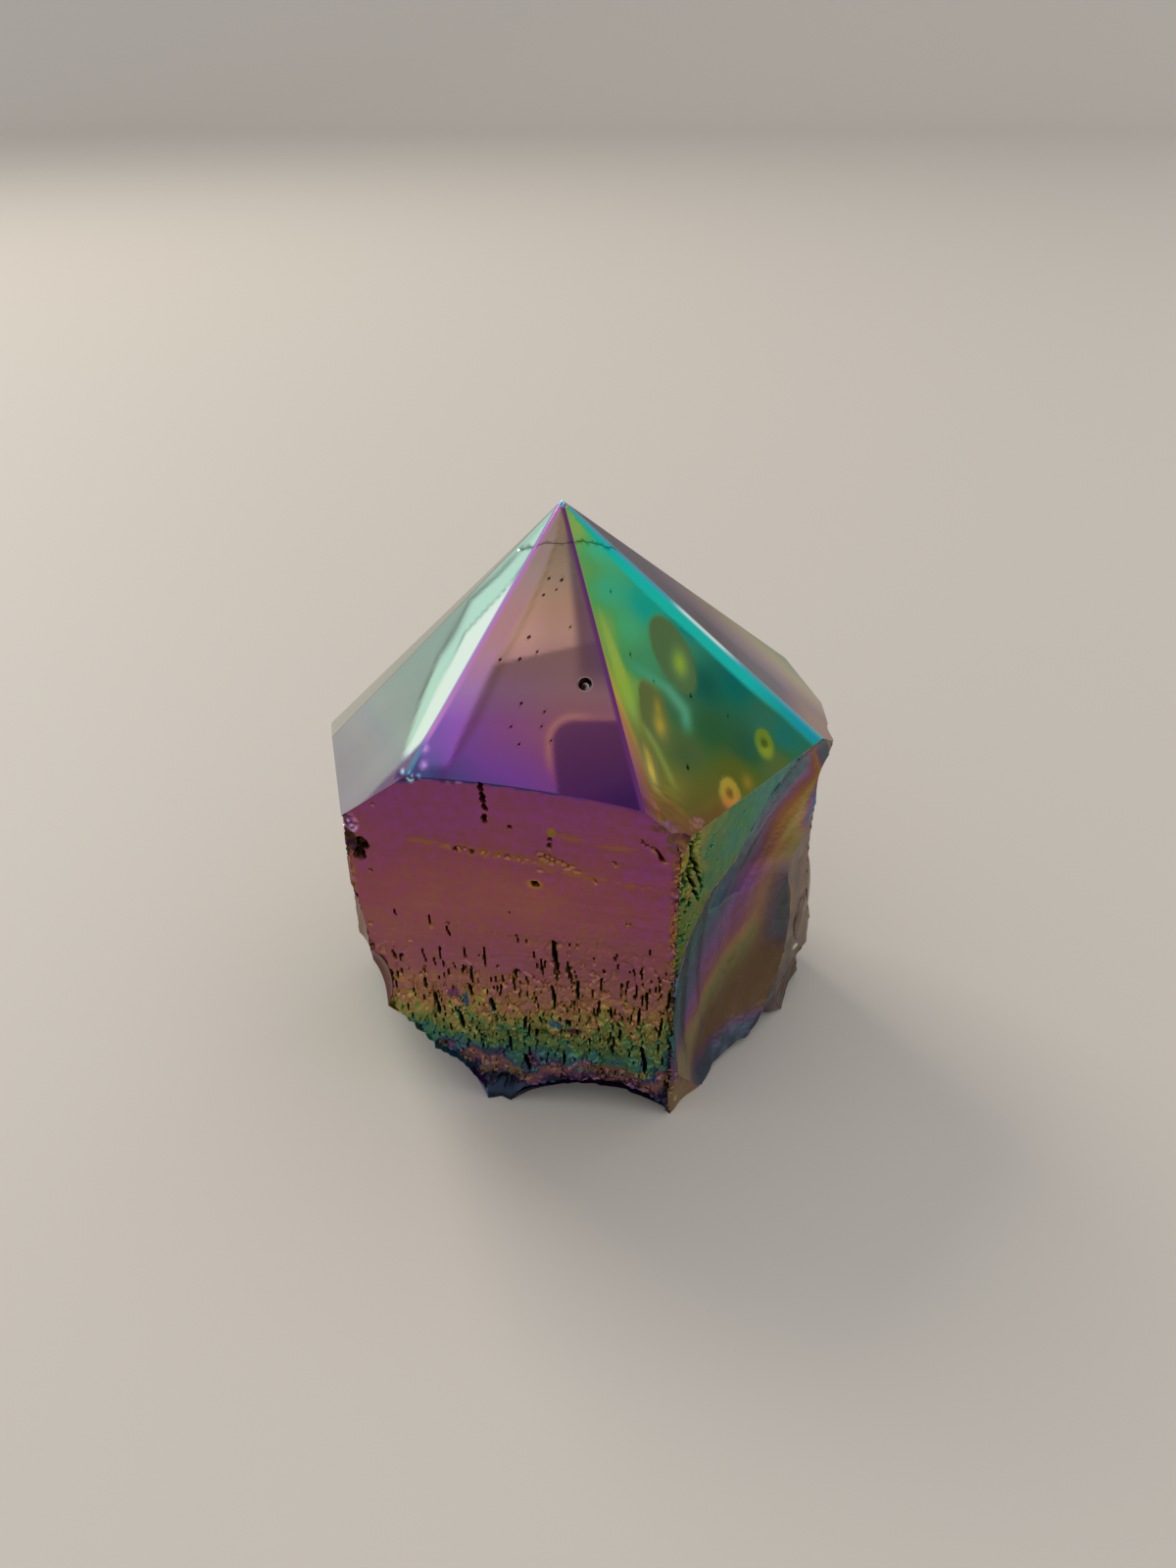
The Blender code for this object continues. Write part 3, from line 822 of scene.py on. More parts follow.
# Fine crack that rings the tip: height of the crack by x.
RING_X = (-8.3, -7.3, -6.3, -5.2, -2.8, -1.2, 0.6, 1.5, 2.6, 3.8, 6.2)
RING_Z = (70.3, 70.8, 71.3, 71.6, 71.6, 71.7, 71.0, 70.6, 70.1, 69.6, 68.7)
RING_FACETS = ("tip_left", "tip_front", "tip_right", "tip_far_right")
# Distances from a ridge at which the net gets rows of points.
RIDGE_ROWS = (0.34, 0.50, 0.66)


def ring_share(p):
    """1 on the fine crack round the tip, 0 away from it."""
    wave = 0.05 * noise3(p / 0.5, 110)
    return fall(np.abs(p[:, 2] + wave - between(p[:, 0], RING_X, RING_Z)), 0.02, 0.09)


def ring_points(plane):
    """Extra net points along the fine crack, as place and clearing radius."""
    x = np.arange(RING_X[0], RING_X[-1], CRACK_STEP)
    z = between(x, RING_X, RING_Z)
    y = (plane.d - plane.n[0] * x - plane.n[2] * z) / plane.n[1]
    q = plane.flat(np.stack([x, y, z], -1))
    lines = np.concatenate([q + (0.0, k * CRACK_STEP) for k in (-1, 0, 1)])
    return np.insert(lines, 2, CLEARING, axis=1)


def ridge_rows(plane, other):
    """Extra net points beside the ridge between two facets, as place and clearing radius."""
    down = np.cross(plane.n, other.n)
    down = unit(down if down[2] < 0 else -down)
    inward = unit(np.cross(plane.n, down))
    inward = inward if inward @ other.n < 0 else -inward
    line = TIP + np.arange(0.6, 46.0, 0.4)[:, None] * down
    lines = np.concatenate([line + gap * inward for gap in RIDGE_ROWS])
    return np.insert(plane.flat(lines), 2, CLEARING, axis=1)


def facet_depth(name, s, t, gap):
    """Pits, crack and hollows of a polished facet."""
    deep = np.zeros_like(s)
    for ps, pt, radius, depth in PITS.get(name, ()):
        r = pit_share(s, t, ps, pt, radius)
        deep = np.maximum(deep, depth * fall(r, 0.5, 1.0))
    if name == "tip_right":
        shares = lens_share(s, t)
        deep = deep + (shares ** 1.3 * LENSES[:, 5][:, None]).sum(0)
    deep = deep + 0.012 * smooth(gap, 0.3, 3.0) * noise2(s / 7.0, t / 7.0, 99)
    return deep


# ---------------------------------------------------------------- rim and underside
ARCH_MIDDLE = -6.8
ARCH_HALF = 14.2
ARCH_RISE = 0.85
ARCH_FADE = 7.0


def girdle_lift(p, front_gap, facet_gap):
    """Raise the edge under the front facet in the middle, so that it runs in a low arch."""
    arch = np.clip(1.0 - ((p[:, 0] - ARCH_MIDDLE) / ARCH_HALF) ** 2, 0.0, 1.0)
    return ARCH_RISE * arch * fall(front_gap, 0.0, ARCH_FADE) * fall(facet_gap, 0.0, ARCH_FADE)


def rim_distance(p):
    """Distance behind the nearest prism face."""
    found = np.full(len(p), 1e9)
    for a, d in PRISM_FACES.values():
        found = np.minimum(found, d - p @ azimuth_vector(a))
    return found


def clear_of_feet(p, feet=FEET):
    """From 0 at a foot to 1 well away from them all."""
    away = np.ones(len(p))
    for foot in feet:
        gap = np.hypot(*(p[:, :2] - foot).T) / FOOT_RADIUS
        away = away * smooth(gap, 0.5, 1.6)
    return away


def rim_move(p):
    """Pull the lower rim in unevenly so the base edge looks broken."""
    low = fall(p[:, 2], 0.0, RIM_HEIGHT) * fall(rim_distance(p), 0.0, RIM_FADE)
    inward = p * np.array((-1.0, -1.0, 0.0))
    inward /= np.linalg.norm(inward, axis=1)[:, None] + 1e-9
    lumps = 0.5 + 0.5 * noise3(p / 3.0, 101)
    fine = 0.5 + 0.5 * noise3(p / 1.2, 102)
    guard = 0.25 + 0.75 * clear_of_feet(p, FEET[1:]) + 0.6 * (1.0 - clear_of_feet(p, FEET[:1]))
    return inward * (low * RIM_INSET * guard * (0.3 + lumps + 0.3 * fine))[:, None]


def hollow_move(p):
    """Lift the underside outside the level patch and the feet."""
    low = fall(p[:, 2], 0.0, RIM_HEIGHT)
    out = np.hypot(*(p[:, :2] - LEVEL_CENTRE).T)
    away = smooth(out, LEVEL_RADIUS, LEVEL_RADIUS + 6.0) * clear_of_feet(p)
    n = noise3(np.stack([p[:, 0] / 5.0, p[:, 1] / 5.0, np.full(len(p), 3.0)], -1), 104)
    fine = 0.12 * noise3(p / 1.3, 105)
    lift = low * away * np.maximum(0.0, HOLLOW_DEPTH * (0.5 + 0.6 * n + fine))
    return np.stack([np.zeros(len(p)), np.zeros(len(p)), lift], -1)


# ---------------------------------------------------------------- moving the net
class Stone:
    """The net with its moves and colours."""

    def __init__(self):
        self.planes = all_planes()
        self.by_name = {p.name: p for p in self.planes}
        self.points, self.tris, self.names = net_mesh(self.planes, pit_points(self.planes))
        self.deep = {}
        self.member = {}
        for name in sorted(set(self.names)):
            self.member[name] = np.unique(self.tris[self.names == name])

    def off_scars(self):
        """From 0 on the break scars to 1 a little away from them, for points low on the stone."""
        scars = [ids for name, ids in self.member.items() if name not in self.by_name]
        scarred = np.unique(np.concatenate(scars))
        scarred = scarred[self.points[scarred, 2] < RIM_HEIGHT + 1.0]
        tree = KDTree(len(scarred))
        for i, place in enumerate(self.points[scarred].tolist()):
            tree.insert(place, i)
        tree.balance()
        share = np.ones(len(self.points))
        low = np.where(self.points[:, 2] < RIM_HEIGHT)[0]
        gaps = np.array([tree.find(place)[2] for place in self.points[low].tolist()])
        share[low] = smooth(gaps, 0.0, 2.5)
        return share

    def gap_between(self, ids, other):
        """How far each point lies inside another face's plane."""
        plane = self.by_name[other]
        return plane.d - self.points[ids] @ plane.n

    def side_gaps(self, ids):
        """Distances of the front face's points from its right and left edges."""
        return (self.gap_between(ids, "prism_right_front") / RIGHT_EDGE_TURN,
                self.gap_between(ids, "prism_left") / LEFT_EDGE_TURN)

    def depth_of(self, name, ids):
        """How far each point of a face sinks behind its plane."""
        p = self.points[ids]
        plane = self.by_name[name]
        if name == "prism_front":
            top = self.gap_between(ids, "tip_front")
            deep, self.front = front_depth(p[:, 0], p[:, 2], *self.side_gaps(ids), top)
            return deep
        s = p @ plane.u
        if name == "prism_right_front":
            gap = self.gap_between(ids, "prism_front") / RIGHT_EDGE_TURN
            return right_front_depth(s + RIGHT_FRONT_START, p[:, 2], gap)
        if name.startswith("prism"):
            return natural_depth(s, p[:, 2], 200 + 10 * list(PRISM_FACES).index(name[6:]))
        if name.startswith("tip"):
            q = facet_place(plane, p)
            deep = facet_depth(name, q[:, 0], q[:, 1], self.edge_gap(name, ids))
            return deep + 0.05 * ring_share(p) if name in RING_FACETS[:3] else deep
        return np.zeros(len(ids))

    def edge_gap(self, name, ids):
        """Distance of points of a face from the nearest other main face's plane."""
        p = self.points[ids]
        own = self.by_name[name]
        gap = np.full(len(ids), 1e9)
        for plane in self.planes:
            if plane.name == name or plane.name.startswith("ridge"):
                continue
            turn = math.sqrt(max(1e-6, 1.0 - (plane.n @ own.n) ** 2))
            gap = np.minimum(gap, (plane.d - p @ plane.n) / turn)
        return gap

    def shape(self):
        """Move every point to its worn place."""
        move = rim_move(self.points) * self.off_scars()[:, None] + hollow_move(self.points)
        gaps = [self.gap_between(slice(None), k) for k in ("prism_front", "tip_front")]
        move[:, 2] += girdle_lift(self.points, *gaps)
        on_tip = np.zeros(len(self.points), bool)
        for name, ids in self.member.items():
            if name.startswith(("tip", "ridge")):
                on_tip[ids] = True
        for name, ids in self.member.items():
            if name not in self.by_name or name == "base":
                continue
            deep = self.depth_of(name, ids)
            if name.startswith("prism"):
                deep = np.where(on_tip[ids], 0.12 * deep, deep)
            self.deep[name] = deep
            np.add.at(move, ids, -deep[:, None] * self.by_name[name].n)
        self.placed = self.points + move
        self.placed[:, 2] = np.maximum(self.placed[:, 2], 0.0)


def sides_of(tris):
    """The three edges of every triangle, as pairs of point numbers in order."""
    return np.sort(np.concatenate([tris[:, [0, 1]], tris[:, [1, 2]], tris[:, [2, 0]]]), axis=1)


def report_closed(tris):
    count = np.unique(sides_of(tris), axis=0, return_counts=True)[1]
    print("triangles", len(tris), "open edges", (count == 1).sum(), "over-shared", (count > 2).sum())


# ---------------------------------------------------------------- colour of the film
# A scratch script read the photo's colour at about 200 points and worked out film, tone and paleness
# there. Most rows of RIGHT_SPOTS are such readings, and the other tables of film and tone were set
# with the readings at hand.
# Film colours round one order, phase 0 to 1.
FILM = (
    (0.00, (0.78, 0.56, 0.06)), (0.08, (0.80, 0.30, 0.06)), (0.16, (0.66, 0.23, 0.13)),
    (0.24, (0.52, 0.12, 0.18)), (0.32, (0.46, 0.08, 0.36)), (0.40, (0.36, 0.07, 0.56)),
    (0.48, (0.10, 0.08, 0.36)), (0.56, (0.03, 0.18, 0.46)), (0.64, (0.01, 0.40, 0.44)),
    (0.72, (0.01, 0.48, 0.28)), (0.80, (0.08, 0.46, 0.10)), (0.88, (0.36, 0.54, 0.04)),
)
KINDS = ("film", "tone", "pale", "rough")


class Coat:
    """The film at some points: colour phase, tone, paleness and roughness."""

    def __init__(self, film, tone, pale, rough=0.0):
        self.film, self.tone, self.pale, self.rough = film, tone, pale, rough

    def lay(self, share, film=None, tone=None, pale=None):
        """Cover a share of what is there with other values. None leaves a value as it is."""
        for kind, value in zip(KINDS, (film, tone, pale)):
            if value is not None:
                setattr(self, kind, getattr(self, kind) * (1.0 - share) + value * share)

    def shift(self, phase):
        self.film = self.film + phase

    def dim(self, share):
        """Darken by a share, or brighten by a negative one."""
        self.tone = self.tone * (1.0 - share)


def profile(value, rows):
    """Each column after the first, read off along the first."""
    places, *columns = np.array(rows).T
    return [between(value, places, column) for column in columns]


def from_spots(x, y, spots, power=4.0, reach=0.6):
    """Blend of values pinned at scattered places. spots rows: x, y, then the values."""
    total = np.zeros((len(x), spots.shape[1] - 2))
    weight = np.zeros(len(x))
    for row in spots:
        w = 1.0 / (np.hypot(x - row[0], y - row[1]) + reach) ** power
        total += w[:, None] * row[2:]
        weight += w
    return (total / weight[:, None]).T


# Patches of other colour on the front face: x, z, half width, half height, film, tone.
FRONT_PATCHES = table(
    (-20.8, 11.2, 1.3, 1.4, -0.26, 0.38), (-19.2, 11.9, 0.7, 1.1, -0.16, 0.38),
    (-17.0, 9.2, 1.0, 1.5, -0.36, 0.40), (-21.9, 13.9, 1.4, 1.1, -0.10, 0.42),
    (-12.3, 16.8, 0.35, 1.0, -0.36, 0.42), (-16.0, 17.5, 0.5, 1.4, -0.50, 0.40),
    (-17.3, 18.5, 0.9, 0.9, 0.30, 0.42), (-12.5, 8.4, 2.0, 0.8, -0.46, 0.22),
    (-9.8, 7.9, 0.9, 0.7, -0.30, 0.34), (-7.5, 7.5, 0.9, 0.6, -0.52, 0.20),
    (-13.5, 5.3, 1.3, 0.9, 0.20, 0.36), (-10.0, 5.0, 1.2, 0.9, 0.14, 0.34),
    (2.4, 6.8, 4.0, 0.8, 0.18, 0.34), (7.0, 6.5, 1.3, 0.6, 0.02, 0.46),
    (7.0, 8.1, 0.6, 0.6, -0.38, 0.40), (9.5, 8.2, 0.5, 0.7, -0.20, 0.40),
    (-4.2, 14.4, 1.0, 0.7, -0.42, 0.36), (-14.4, 13.0, 0.7, 1.2, -0.12, 0.36),
    (-8.0, 11.8, 0.8, 1.0, -0.20, 0.34), (1.2, 12.4, 0.9, 0.8, -0.12, 0.36),
    (-1.8, 13.3, 1.3, 0.5, 0.27, 0.14), (5.2, 11.6, 0.8, 1.0, -0.18, 0.36),
    (-4.2, 45.0, 0.6, 0.5, -0.01, 0.34))

# Halo of the pit above the middle: x, z, half width, half height.
PIT_HALO = (-6.4, 37.7, 1.1, 0.8)

# The front face from the bottom up: height, film, tone. The dark lowest rows are painted shade of the
# pulled-in rim.
FRONT_BANDS = (
    (0.0, -0.46, 0.12), (3.0, -0.48, 0.17), (4.2, -0.72, 0.40), (5.0, -0.80, 0.54), (5.9, -0.78, 0.50),
    (6.5, -0.50, 0.38), (7.3, -0.36, 0.42), (8.6, -0.22, 0.46), (10.6, -0.04, 0.46), (13.0, 0.07, 0.50),
    (16.0, 0.17, 0.57), (24.0, 0.235, 0.60), (33.0, 0.235, 0.62), (38.0, 0.245, 0.60), (43.0, 0.27, 0.57),
    (50.0, 0.30, 0.56),
)


def paint_patches(x, z, coat):
    """Lay the listed patches over the face with ragged edges."""
    ragged = 0.45 * noise2(x / 0.45, z / 0.45, 307)
    for *place, film, tone in FRONT_PATCHES:
        coat.lay(fall(spot(x, z, *place) + ragged, 0.8, 1.05), film, tone)


def olive_streaks(x, z):
    """Thin olive streaks: along the pitted line, and slanting below it on the right."""
    band = band_height(x, z)
    ragged = smooth(rough2(x / 0.9, z / 0.35, 305), -0.15, 0.25)
    along = bell(band, 40.4, 0.45) * stretch(x, -23.0, -19.0, -4.0, 0.0)
    below = bell(z + 0.16 * (x - 2.0), 39.0, 0.4) * stretch(x, -7.0, -4.0, 7.0, 9.5)
    above = 0.7 * bell(band, 44.3, 0.5) * stretch(x, -5.0, -3.0, 6.0, 9.0)
    return np.maximum(np.maximum(along, below), above) * ragged


def front_base(x, z, parts):
    """Ground colour of the front face: uneven bands that rise to the left."""
    shift = 0.6 * noise2(x / 4.0, z / 3.0, 301) + 0.5 * noise2(x / 1.1, z / 1.3, 302)
    shift = shift + (parts["block"] - 0.5) * 3.2 * stretch(z, 5.5, 7.5, 9.0, 15.0)
    shift = shift + 2.4 * noise2(x / 1.5, z / 1.9, 309) * fall(z, 13.0, 19.0)
    lower = between(x, (-25.0, -20.0, -14.0, -6.0), (-5.5, -3.4, -1.1, 0.0))
    pale = between(z, (7.0, 14.0, 20.0, 27.0, 35.0), (0.28, 0.26, 0.17, 0.10, 0.06))
    coat = Coat(*profile(z + shift + lower * fall(z, 13.0, 20.0), FRONT_BANDS), pale)
    coat.shift(0.03 * smooth(x, 2.0, 8.0) * smooth(z, 25.0, 32.0))
    coat.shift(-0.025 * bell(x, -10.0, 9.0) * bell(z, 36.0, 6.0))
    lines = noise2(x / 9.0, band_height(x, z) / 0.5, 303)
    coat.shift(0.008 * lines + 0.015 * noise2(x / 5.0, z / 5.0, 304))
    coat.dim(-0.05 * lines)
    return coat


def paint_front(x, z, parts, gap_right, gap_left, gap_top):
    """The front face: bands, etched chips, patches, streaks, slots and pits darkened by painted shade, and
    worn edges.
    """
    coat = front_base(x, z, parts)
    gone = (0.9 - 0.35 * smooth(z, 13.0, 18.0)) * parts["gone"]
    olive = between(z, (6.0, 8.0, 11.0, 14.0, 20.0, 30.0), (-0.40, -0.26, -0.12, -0.05, 0.0, 0.03))
    coat.lay(gone, np.minimum(coat.film, olive + 0.05 * noise2(x / 0.7, z / 0.9, 308)))
    coat.shift(-0.13 * smooth(noise2(x / 0.9, z / 1.6, 310), 0.25, 0.5) * stretch(z, 7.0, 9.0, 17.0, 24.0))
    coat.dim(0.26 * gone)
    paint_patches(x, z, coat)
    streak = np.maximum(olive_streaks(x, z), smooth(parts["marks"], 0.02, 0.12) * 0.9)
    coat.shift(-0.20 * streak - 0.14 * fall(spot(x, z, *PIT_HALO), 0.5, 1.1))
    coat.dim(0.38 * streak)
    # Slots turn blue; they, their rims and the deep pits and grooves are darkened as painted shade.
    hole = smooth(parts["slot"], 0.12, 0.50)
    rim = smooth(parts["slot"], 0.02, 0.10) * (1.0 - hole)
    coat.shift(-0.22 * rim - 0.42 * hole)
    for dark in (0.20 * rim, 0.76 * hole, 0.88 * smooth(parts["marks"], 0.22, 0.5)):
        coat.dim(dark)
    border = fall(gap_top, 0.12, 0.40) * (0.35 + 0.65 * fall(x, -6.0, 0.0))
    coat.lay(border, 0.57)
    coat.dim(0.45 * border)
    edge = np.maximum(fall(gap_right, 0.5, 1.5), fall(gap_left, 0.3, 1.0))
    number = cells2(x / 0.45, z / 0.45, 306)[2]
    sparks = edge * (number > 0.92)
    coat.shift(edge * (number - 0.8) * 0.35)
    coat.dim(0.35 * edge - 0.5 * sparks)
    coat.pale = coat.pale * (1.0 - 0.5 * hole) + 0.12 * sparks
    coat.rough = 0.34 + 0.08 * smooth(ETCH_TOP - z, 0.0, 14.0)
    return coat


# Colour places of the right front face: along, height, film, tone, paleness.
RIGHT_FRONT_SPOTS = table(
    (1.0, 40.3, 0.0, 0.50, 0.1), (1.0, 45.0, 0.02, 0.42, 0.15), (2.5, 38.0, -0.06, 0.36, 0.15),
    (4.0, 46.0, -0.06, 0.42, 0.15), (6.0, 42.0, -0.18, 0.42, 0.2), (6.0, 37.0, -0.20, 0.40, 0.2),
    (10.0, 40.0, -0.26, 0.44, 0.2), (12.0, 44.0, -0.22, 0.46, 0.15), (18.0, 43.0, -0.31, 0.48, 0.2),
    (27.0, 45.0, -0.36, 0.50, 0.2), (4.0, 33.0, -0.14, 0.34, 0.15), (1.0, 28.0, -0.12, 0.32, 0.15),
    (0.5, 15.0, -0.34, 0.36, 0.2), (1.6, 9.5, -0.56, 0.34, 0.3), (0.0, 7.4, -0.67, 0.34, 0.35),
    (0.3, 3.5, -0.88, 0.42, 0.3), (2.2, 2.5, -0.97, 0.42, 0.35))

# Edge of the big scars toward the smooth strip, along the right front face and by height.
SCAR_EDGE = ((-1.5, 3.0), (0.0, 8.0), (2.0, 14.0), (4.5, 20.0), (8.5, 26.5), (13.0, 31.5), (19.0, 36.5),
             (27.0, 42.0))
# Their bands: distance from that edge, film, tone, paleness. The upper ones are in millimetres.
SCAR_BANDS = (
    (0.0, -0.34, 0.46, 0.15), (2.0, -0.37, 0.47, 0.20), (4.6, -0.44, 0.54, 0.25), (7.6, -0.56, 0.57, 0.28),
    (9.5, -0.66, 0.58, 0.22), (11.4, -0.72, 0.60, 0.20), (13.0, -0.80, 0.57, 0.22), (14.2, -0.93, 0.53, 0.32),
    (15.6, -1.00, 0.45, 0.42), (18.0, -1.03, 0.35, 0.48), (23.0, -0.95, 0.27, 0.42),
    (27.0, -0.92, 0.26, 0.42),
)
UPPER_BANDS = (
    (0.0, -0.38, 0.45, 0.30), (2.0, -0.40, 0.48, 0.40), (3.0, -0.43, 0.50, 0.45), (4.3, -0.54, 0.53, 0.50),
    (5.2, -0.71, 0.50, 0.25), (6.0, -0.85, 0.45, 0.15), (7.0, -0.97, 0.42, 0.18), (8.2, -1.02, 0.42, 0.40),
    (9.6, -1.08, 0.36, 0.55),
)
# The swelling beside them: along the right front face, film, tone, paleness.
BULGE_BANDS = ((23.0, 0.50, 0.26, 0.65), (24.6, 0.50, 0.27, 0.65), (25.6, 0.12, 0.38, 0.45),
               (27.0, 0.22, 0.34, 0.70), (29.5, 0.16, 0.38, 0.55))
# White chip on it: along, height, half width, half height.
WHITE_CHIP = (29.3, 11.0, 0.7, 0.5)


def upper_bands(z, gap, coat):
    """Narrower bands at the top of the scars, ending in blue-grey."""
    gap = gap / between(z, (24.0, 28.5, 31.0, 34.0, 38.5, 42.0), (1.5, 1.16, 1.18, 0.97, 0.62, 0.45))
    upper = Coat(*profile(gap, UPPER_BANDS))
    upper.lay(smooth(gap, 7.4, 8.2) * smooth(z, 31.5, 34.0), -0.46)
    level = upper.tone * between(z, (27.5, 30.0, 32.0, 35.0), (0.46, 0.52, 0.66, 0.95))
    coat.lay(smooth(z, 28.0, 31.0), upper.film, level, upper.pale)


def paint_right_scars(s, z, p):
    """Bands of the big scars on the right, that follow their edge and close up toward its ends."""
    centre, _, along, outward = SCARS["upper_trough"]
    size = (p - centre) @ scar_frame(along, outward)
    streak = noise3(size / (11.0, 0.7, 1.5), 311)
    fine = noise3(size / (6.0, 0.28, 0.8), 312)
    widths = between(z, (3.0, 6.0, 10.0, 15.0, 20.0, 25.0, 28.0, 33.0, 36.0, 40.0),
                     (0.30, 0.36, 0.64, 0.86, 1.0, 0.80, 0.66, 0.54, 0.46, 0.34))
    gap = segment_gap(s, z, SCAR_EDGE, SCAR_EDGE[1:]) + 0.8 * noise3(p / 5.0, 313) + 0.35 * streak
    band = gap / widths
    coat = Coat(*profile(band, SCAR_BANDS))
    coat.dim(-0.22 * smooth(z, 24.0, 32.0))
    upper_bands(z, gap, coat)
    coat.lay(fall(z, 1.5, 5.5) * smooth(band, 9.0, 14.0), -0.47)
    foot = fall(z, 8.0, 10.5) * smooth(s, 1.0, 2.2) * fall(s - 0.9 * z, 1.0, 4.5)
    coat.lay(foot, -0.98, 0.46, 0.40)
    # Dark blue-grey beside the swelling's edge: painted shade at the swelling.
    coat.lay(smooth(s, 21.5, 25.5) * stretch(z, 12.0, 17.0, 26.0, 30.0), -0.48, 0.26, 0.68)
    coat.shift(0.02 * streak + 0.012 * fine)
    coat.dim(-0.10 * streak - 0.07 * fine)
    return coat


def paint_bulge(s, z, p):
    """Grey-brown swelling at the right, with an orange-brown rim and a white chip."""
    coat = Coat(*profile(s, BULGE_BANDS))
    coat.shift(0.04 * noise3(p / 2.5, 314))
    coat.dim(-0.25 * noise3(p / 1.8, 315))
    rim = between(z, (12.5, 20.7), (25.6, 26.6))
    coat.lay(bell(s, rim, 0.4) * stretch(z, 10.5, 12.5, 22.0, 24.0), 0.06, 0.46, 0.15)
    coat.lay(fall(spot(s, z, *WHITE_CHIP), 0.7, 1.1), tone=1.3, pale=1.0)
    return coat


def paint_right_front(p, deep):
    """The strip beside the front edge, with pits darkened as painted shade, and the swelling's colours far
    right.
    """
    s, z = along_right_front(p), p[:, 2]
    coat = Coat(*from_spots(s + 0.5 * noise3(p, 392), z, RIGHT_FRONT_SPOTS), 0.32)
    # Deep pits are darkened: painted shade.
    gone = smooth(deep, 0.28, 0.75)
    coat.shift(0.03 * noise3(p / 1.5, 393) - 0.22 * gone)
    coat.dim(0.92 * gone)
    bulge = paint_bulge(s, z, p)
    coat.lay(smooth(s, 21.0, 22.5) * fall(z - 10.0 - s, 3.0, 5.0), bulge.film, bulge.tone, bulge.pale)
    return coat


# Where a facet's two ridges run: level distance for each millimetre down the slope.
FACET_SIDES = {"tip_front": (-0.49, 0.25), "tip_right": (-0.39, 0.42)}


def facet_share(name, s, t):
    """Across a facet from its left ridge (0) to its right ridge (1)."""
    low, high = FACET_SIDES.get(name, (-0.45, 0.45))
    return (-s / np.minimum(t, -0.05) - low) / (high - low)


# Dark reflection in the front facet: where its corner's rounding starts, and the rounding's radius.
DARK_SIDE = 1.9
DARK_TOP = 30.2
DARK_ROUND = 2.6
# Two painted glints near the facet's left end, along and down.
GLINTS = ((-15.2, 31.3), (-15.2, 33.4))


def paint_reflection(s, down, coat):
    """Dark rounded shape with a reddish rim, low on the right of the front facet."""
    side = DARK_SIDE - s + 0.70 * smooth(down, 31.0, 38.0)
    corner = np.hypot(np.clip(side, 0.0, 9.0), np.clip(DARK_TOP - down, 0.0, 9.0))
    left = DARK_ROUND - np.where(down > DARK_TOP, side, corner)
    deeper = down + 0.5 * s
    coat.lay(smooth(left, -0.15, 0.40), between(deeper, (28.0, 33.0, 38.0, 41.0), (0.29, 0.32, 0.36, 0.40)),
             between(deeper, (27.0, 32.0, 38.0, 41.0), (0.27, 0.22, 0.18, 0.13)))
    rim = bell(left, -0.35, 0.45) * fall(down, 32.0, 36.0) * (1.0 - 0.75 * smooth(s, 1.5, 5.0))
    coat.lay(0.9 * rim, 0.20, 0.66)


def paint_tip_front(s, t):
    """Brown near the tip, mauve lower down, with a pink strip beside the left ridge, and painted reflections:
    darker below a level edge, a dark shape, a pale patch and two glints.
    """
    down, w = -t, facet_share("tip_front", s, t)
    d = down + 0.5 * noise2(s / 6.0, t / 6.0, 321)
    coat = Coat(between(d, (0.0, 9.0, 15.0, 18.0, 20.0, 24.0, 28.0, 31.0, 36.0, 41.0),
                        (0.08, 0.10, 0.16, 0.19, 0.22, 0.255, 0.27, 0.28, 0.36, 0.38)),
                between(d, (0.0, 6.0, 10.0, 13.5, 17.0, 20.0, 22.0),
                        (0.36, 0.40, 0.50, 0.64, 0.74, 0.68, 0.66)),
                between(down, (9.0, 14.0, 24.0, 28.0, 34.0, 40.0), (0.5, 0.30, 0.28, 0.12, 0.08, 0.05)))
    coat.shift(0.011 * np.clip(-1.0 - s, -2.0, 14.0) * smooth(down, 18.0, 27.0))
    coat.dim(-0.22 * smooth(-s, 0.5, 4.5))
    # Below a near-level edge the facet is darker: a painted reflection of an edge in the room.
    lower = between(d, (18.0, 20.0, 24.0, 29.0, 33.0, 41.0), (0.37, 0.40, 0.45, 0.50, 0.47, 0.42))
    coat.lay(smooth(down + 0.24 * (s - 2.3), 18.3, 18.9), tone=lower)
    edge = between(down, (4.0, 6.0, 12.0, 20.0, 29.0, 34.0), (0.50, 0.46, 0.32, 0.20, 0.165, 0.125))
    strip = fall(w, edge - 0.05, edge)
    coat.shift(strip * between(down, (0.0, 10.0, 16.0, 26.0, 32.0), (0.10, 0.10, 0.06, 0.01, 0.0)))
    coat.lay(strip, tone=between(down, (0.0, 8.0, 14.0, 20.0, 27.0, 29.0, 34.0),
                                 (0.50, 0.60, 0.84, 0.92, 0.82, 0.60, 0.52)))
    line = bell(w, edge + 0.03, 0.03) * smooth(down, 4.0, 7.0)
    coat.shift(-0.035 * line)
    coat.dim(0.26 * line)
    start = 0.80 - 0.003 * down + 0.02 * noise2(s / 5.0, t / 9.0, 322)
    dark = 0.8 * smooth(w, start, start + 0.11) * stretch(down, 2.0, 5.0, 21.0, 25.0)
    coat.lay(dark, between(w, (0.70, 0.9, 1.0), (0.20, 0.28, 0.33)), between(w, (0.70, 0.86), (0.36, 0.22)))
    paint_reflection(s, down, coat)
    # A lighter patch at the facet's left end: a painted reflection of a pale shape.
    pale_reflection = smooth(s, -16.0, -15.3) * fall(s + 0.35 * (down - 25.0), -9.7, -9.1)
    coat.lay(0.8 * pale_reflection * stretch(down, 24.4, 25.0, 33.0, 34.2), tone=0.84)
    # Painted glints: brighter, paler spots.
    for glint_s, glint_down in GLINTS:
        glint = bell(s, glint_s, 0.36) * bell(down, glint_down, 0.45)
        coat.dim(-0.9 * glint)
        coat.shift(-0.12 * glint)
        coat.pale = coat.pale + 0.3 * glint
    return coat


